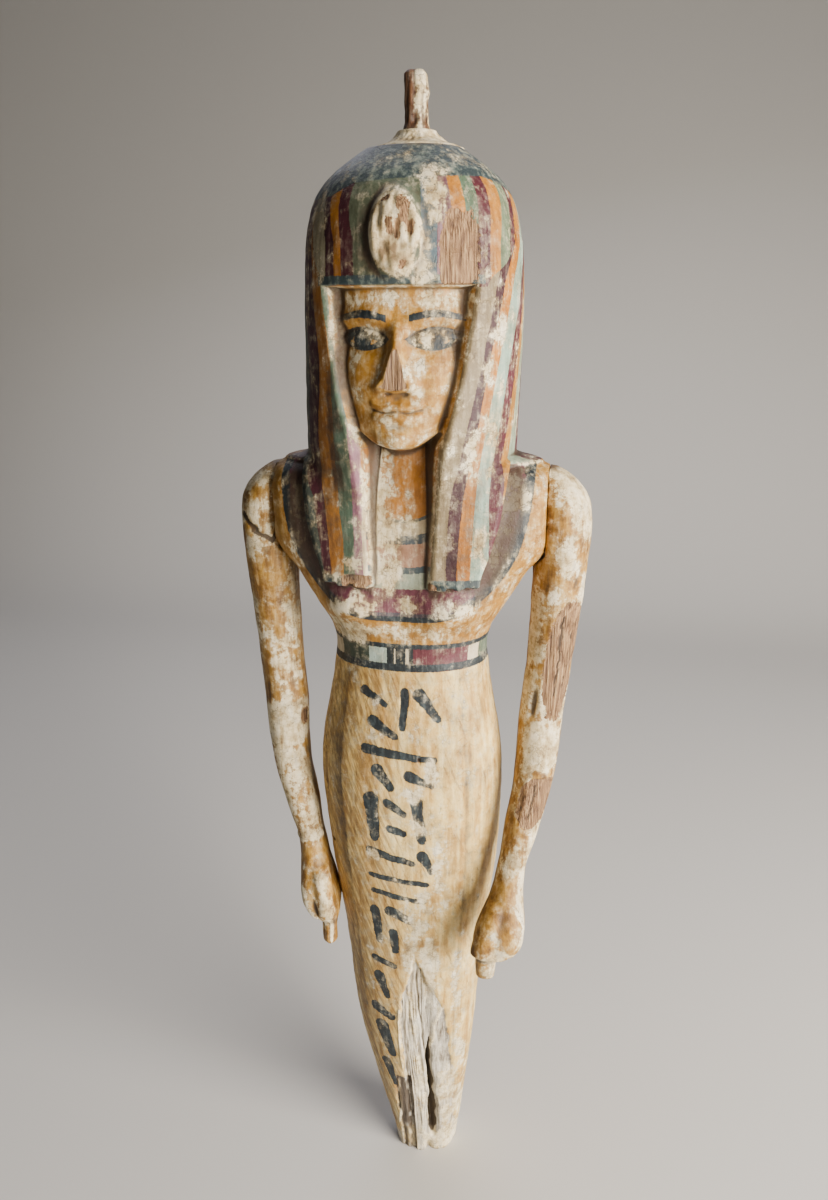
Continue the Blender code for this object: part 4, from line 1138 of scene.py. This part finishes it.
def makePeg():
    # a boxy oval carried up the peg, its width, depth and shift following the profile, less fibres and dents
    g = pegShape
    floor = figureShape["height"] + g["moundRise"] - g["pocket"] + g["clearance"]
    top = figureShape["height"] + g["moundRise"] + g["rise"]
    turn, share = ringGrid(g["columns"], np.linspace(0, 1, g["rows"]))
    at, *sizes = zip(*g["profile"])
    width, depth, shift = (np.interp(share, at, size) for size in sizes)
    side = oval(turn, g["width"] / 2, g["depth"] / 2, g["depth"] / 2, g["squareness"])
    aboveMound = ramp(share, 0.26, 0.34)
    fibres = np.abs(rough(np.sin(turn) * 6, np.cos(turn) * 6, share * 30, (1.2, 1.2, 9), 61))
    dents = rough(np.sin(turn) * 6, np.cos(turn) * 6, share * 30, (4, 4, 5), 62)
    side = side - (0.9 * fibres + 0.45 * (1 + dents)) * mm * aboveMound
    x = side * np.sin(turn) * width + g["offset"] + shift * g["width"]
    y = -side * np.cos(turn) * depth
    points = np.clip(np.stack([x, y, floor + (top - floor) * share], -1), *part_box("crown_peg"))
    xmm = (x - g["offset"]) / mm
    none = np.full_like(x, -9.0)
    fields = {"gesso": -4.5 + 5.0 * ramp(xmm + 2.4 * dents, -1.0, 2.5), "wood": np.full_like(x, -3.4),
              "dark": none, "ash": none, "grime": 0.9 * fibres + 0.1}
    peg = closedSkin("crownPeg", points, fields, [layeredFinish("bareWoodPeg", woodPaint)])  # bare wood
    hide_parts("crown_peg")
    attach(peg, "root")


makePeg()
print("peg made")


studio = {
    "floor": "#CFCDC9",
    "world": "#D5D8DC",
    "worldStrength": 0.06,
    "lights": [  # name, watts, size, colour, place and aim in metres
        ("keyLight", 60.0, 1.0, "#FFF6EA", (1.04, -0.60, 0.50), (0.0, 0.0, 0.26)),
        ("fillLight", 0.10, 0.9, "#EEF3FF", (-0.8, -0.7, 0.5), (0.0, 0.0, 0.30)),
        ("backLight", 8.0, 1.0, "#F4F4FF", (-0.25, 0.75, 1.35), (0.0, 0.0, 0.30)),
    ],
    "cameraTurn": 10.0,  # degrees to the figure's left
    "cameraAway": 0.432,
    "cameraUp": 0.4855,
    "cameraPitch": 18.0,
    "cameraRoll": -0.35,
    "lens": 27.0,
    "shift": -3 / 1200,
    "floorHalf": 4.0,
    "sweepStart": 0.9,
}


def softLight(name, watts, size, colour, place, aim):
    lamp = bpy.data.lights.new(name, "AREA")
    lamp.shape = "DISK"
    lamp.size = size
    lamp.energy = watts
    lamp.color = hexColour(colour)[:3]
    light = putInScene(name, lamp)
    light.location = place
    light.rotation_euler = (Vector(aim) - Vector(place)).to_track_quat("-Z", "Y").to_euler()


def makeStudio():
    st = studio
    # a plain pale floor that rises behind in one sweep, with the square of the distance
    rows = np.linspace(-st["floorHalf"], 2.4, 90)
    climb = np.where(rows > st["sweepStart"], (rows - st["sweepStart"]) ** 2 * 1.1, 0.0)
    places = [(x, y, z) for y, z in zip(rows, climb) for x in (-st["floorHalf"], st["floorHalf"])]
    quads = [(2 * i, 2 * i + 1, 2 * i + 3, 2 * i + 2) for i in range(len(rows) - 1)]
    mesh = bpy.data.meshes.new("floor")
    mesh.from_pydata(places, [], quads)
    mesh.shade_smooth()
    floor = putInScene("floor", mesh)
    plain = bpy.data.materials.new("plainFloor")  # matt pale board
    plain.use_nodes = True
    shader = plain.node_tree.nodes["Principled BSDF"]
    shader.inputs["Base Color"].default_value = hexColour(st["floor"])
    shader.inputs["Roughness"].default_value = 0.85
    mesh.materials.append(plain)
    world = bpy.data.worlds.new("softRoom")
    bpy.context.scene.world = world
    world.use_nodes = True
    back = world.node_tree.nodes["Background"]
    back.inputs["Color"].default_value = hexColour(st["world"])
    back.inputs["Strength"].default_value = st["worldStrength"]
    for light in st["lights"]:
        softLight(*light)

    turn, pitch, roll = (math.radians(st[key]) for key in ("cameraTurn", "cameraPitch", "cameraRoll"))
    lens = bpy.data.cameras.new("camera")
    lens.sensor_fit = "VERTICAL"
    lens.sensor_height = 36.0
    lens.lens = st["lens"]
    lens.shift_x = st["shift"]
    lens.clip_start = 0.01
    camera = putInScene("camera", lens)
    camera.location = (math.sin(turn) * st["cameraAway"], -math.cos(turn) * st["cameraAway"], st["cameraUp"])
    around = Matrix.Rotation(turn, 3, "Z") @ Matrix.Rotation(math.pi / 2 - pitch, 3, "X")
    camera.rotation_euler = (around @ Matrix.Rotation(roll, 3, "Z")).to_euler()
    bpy.context.scene.camera = camera


makeStudio()
print("studio made")
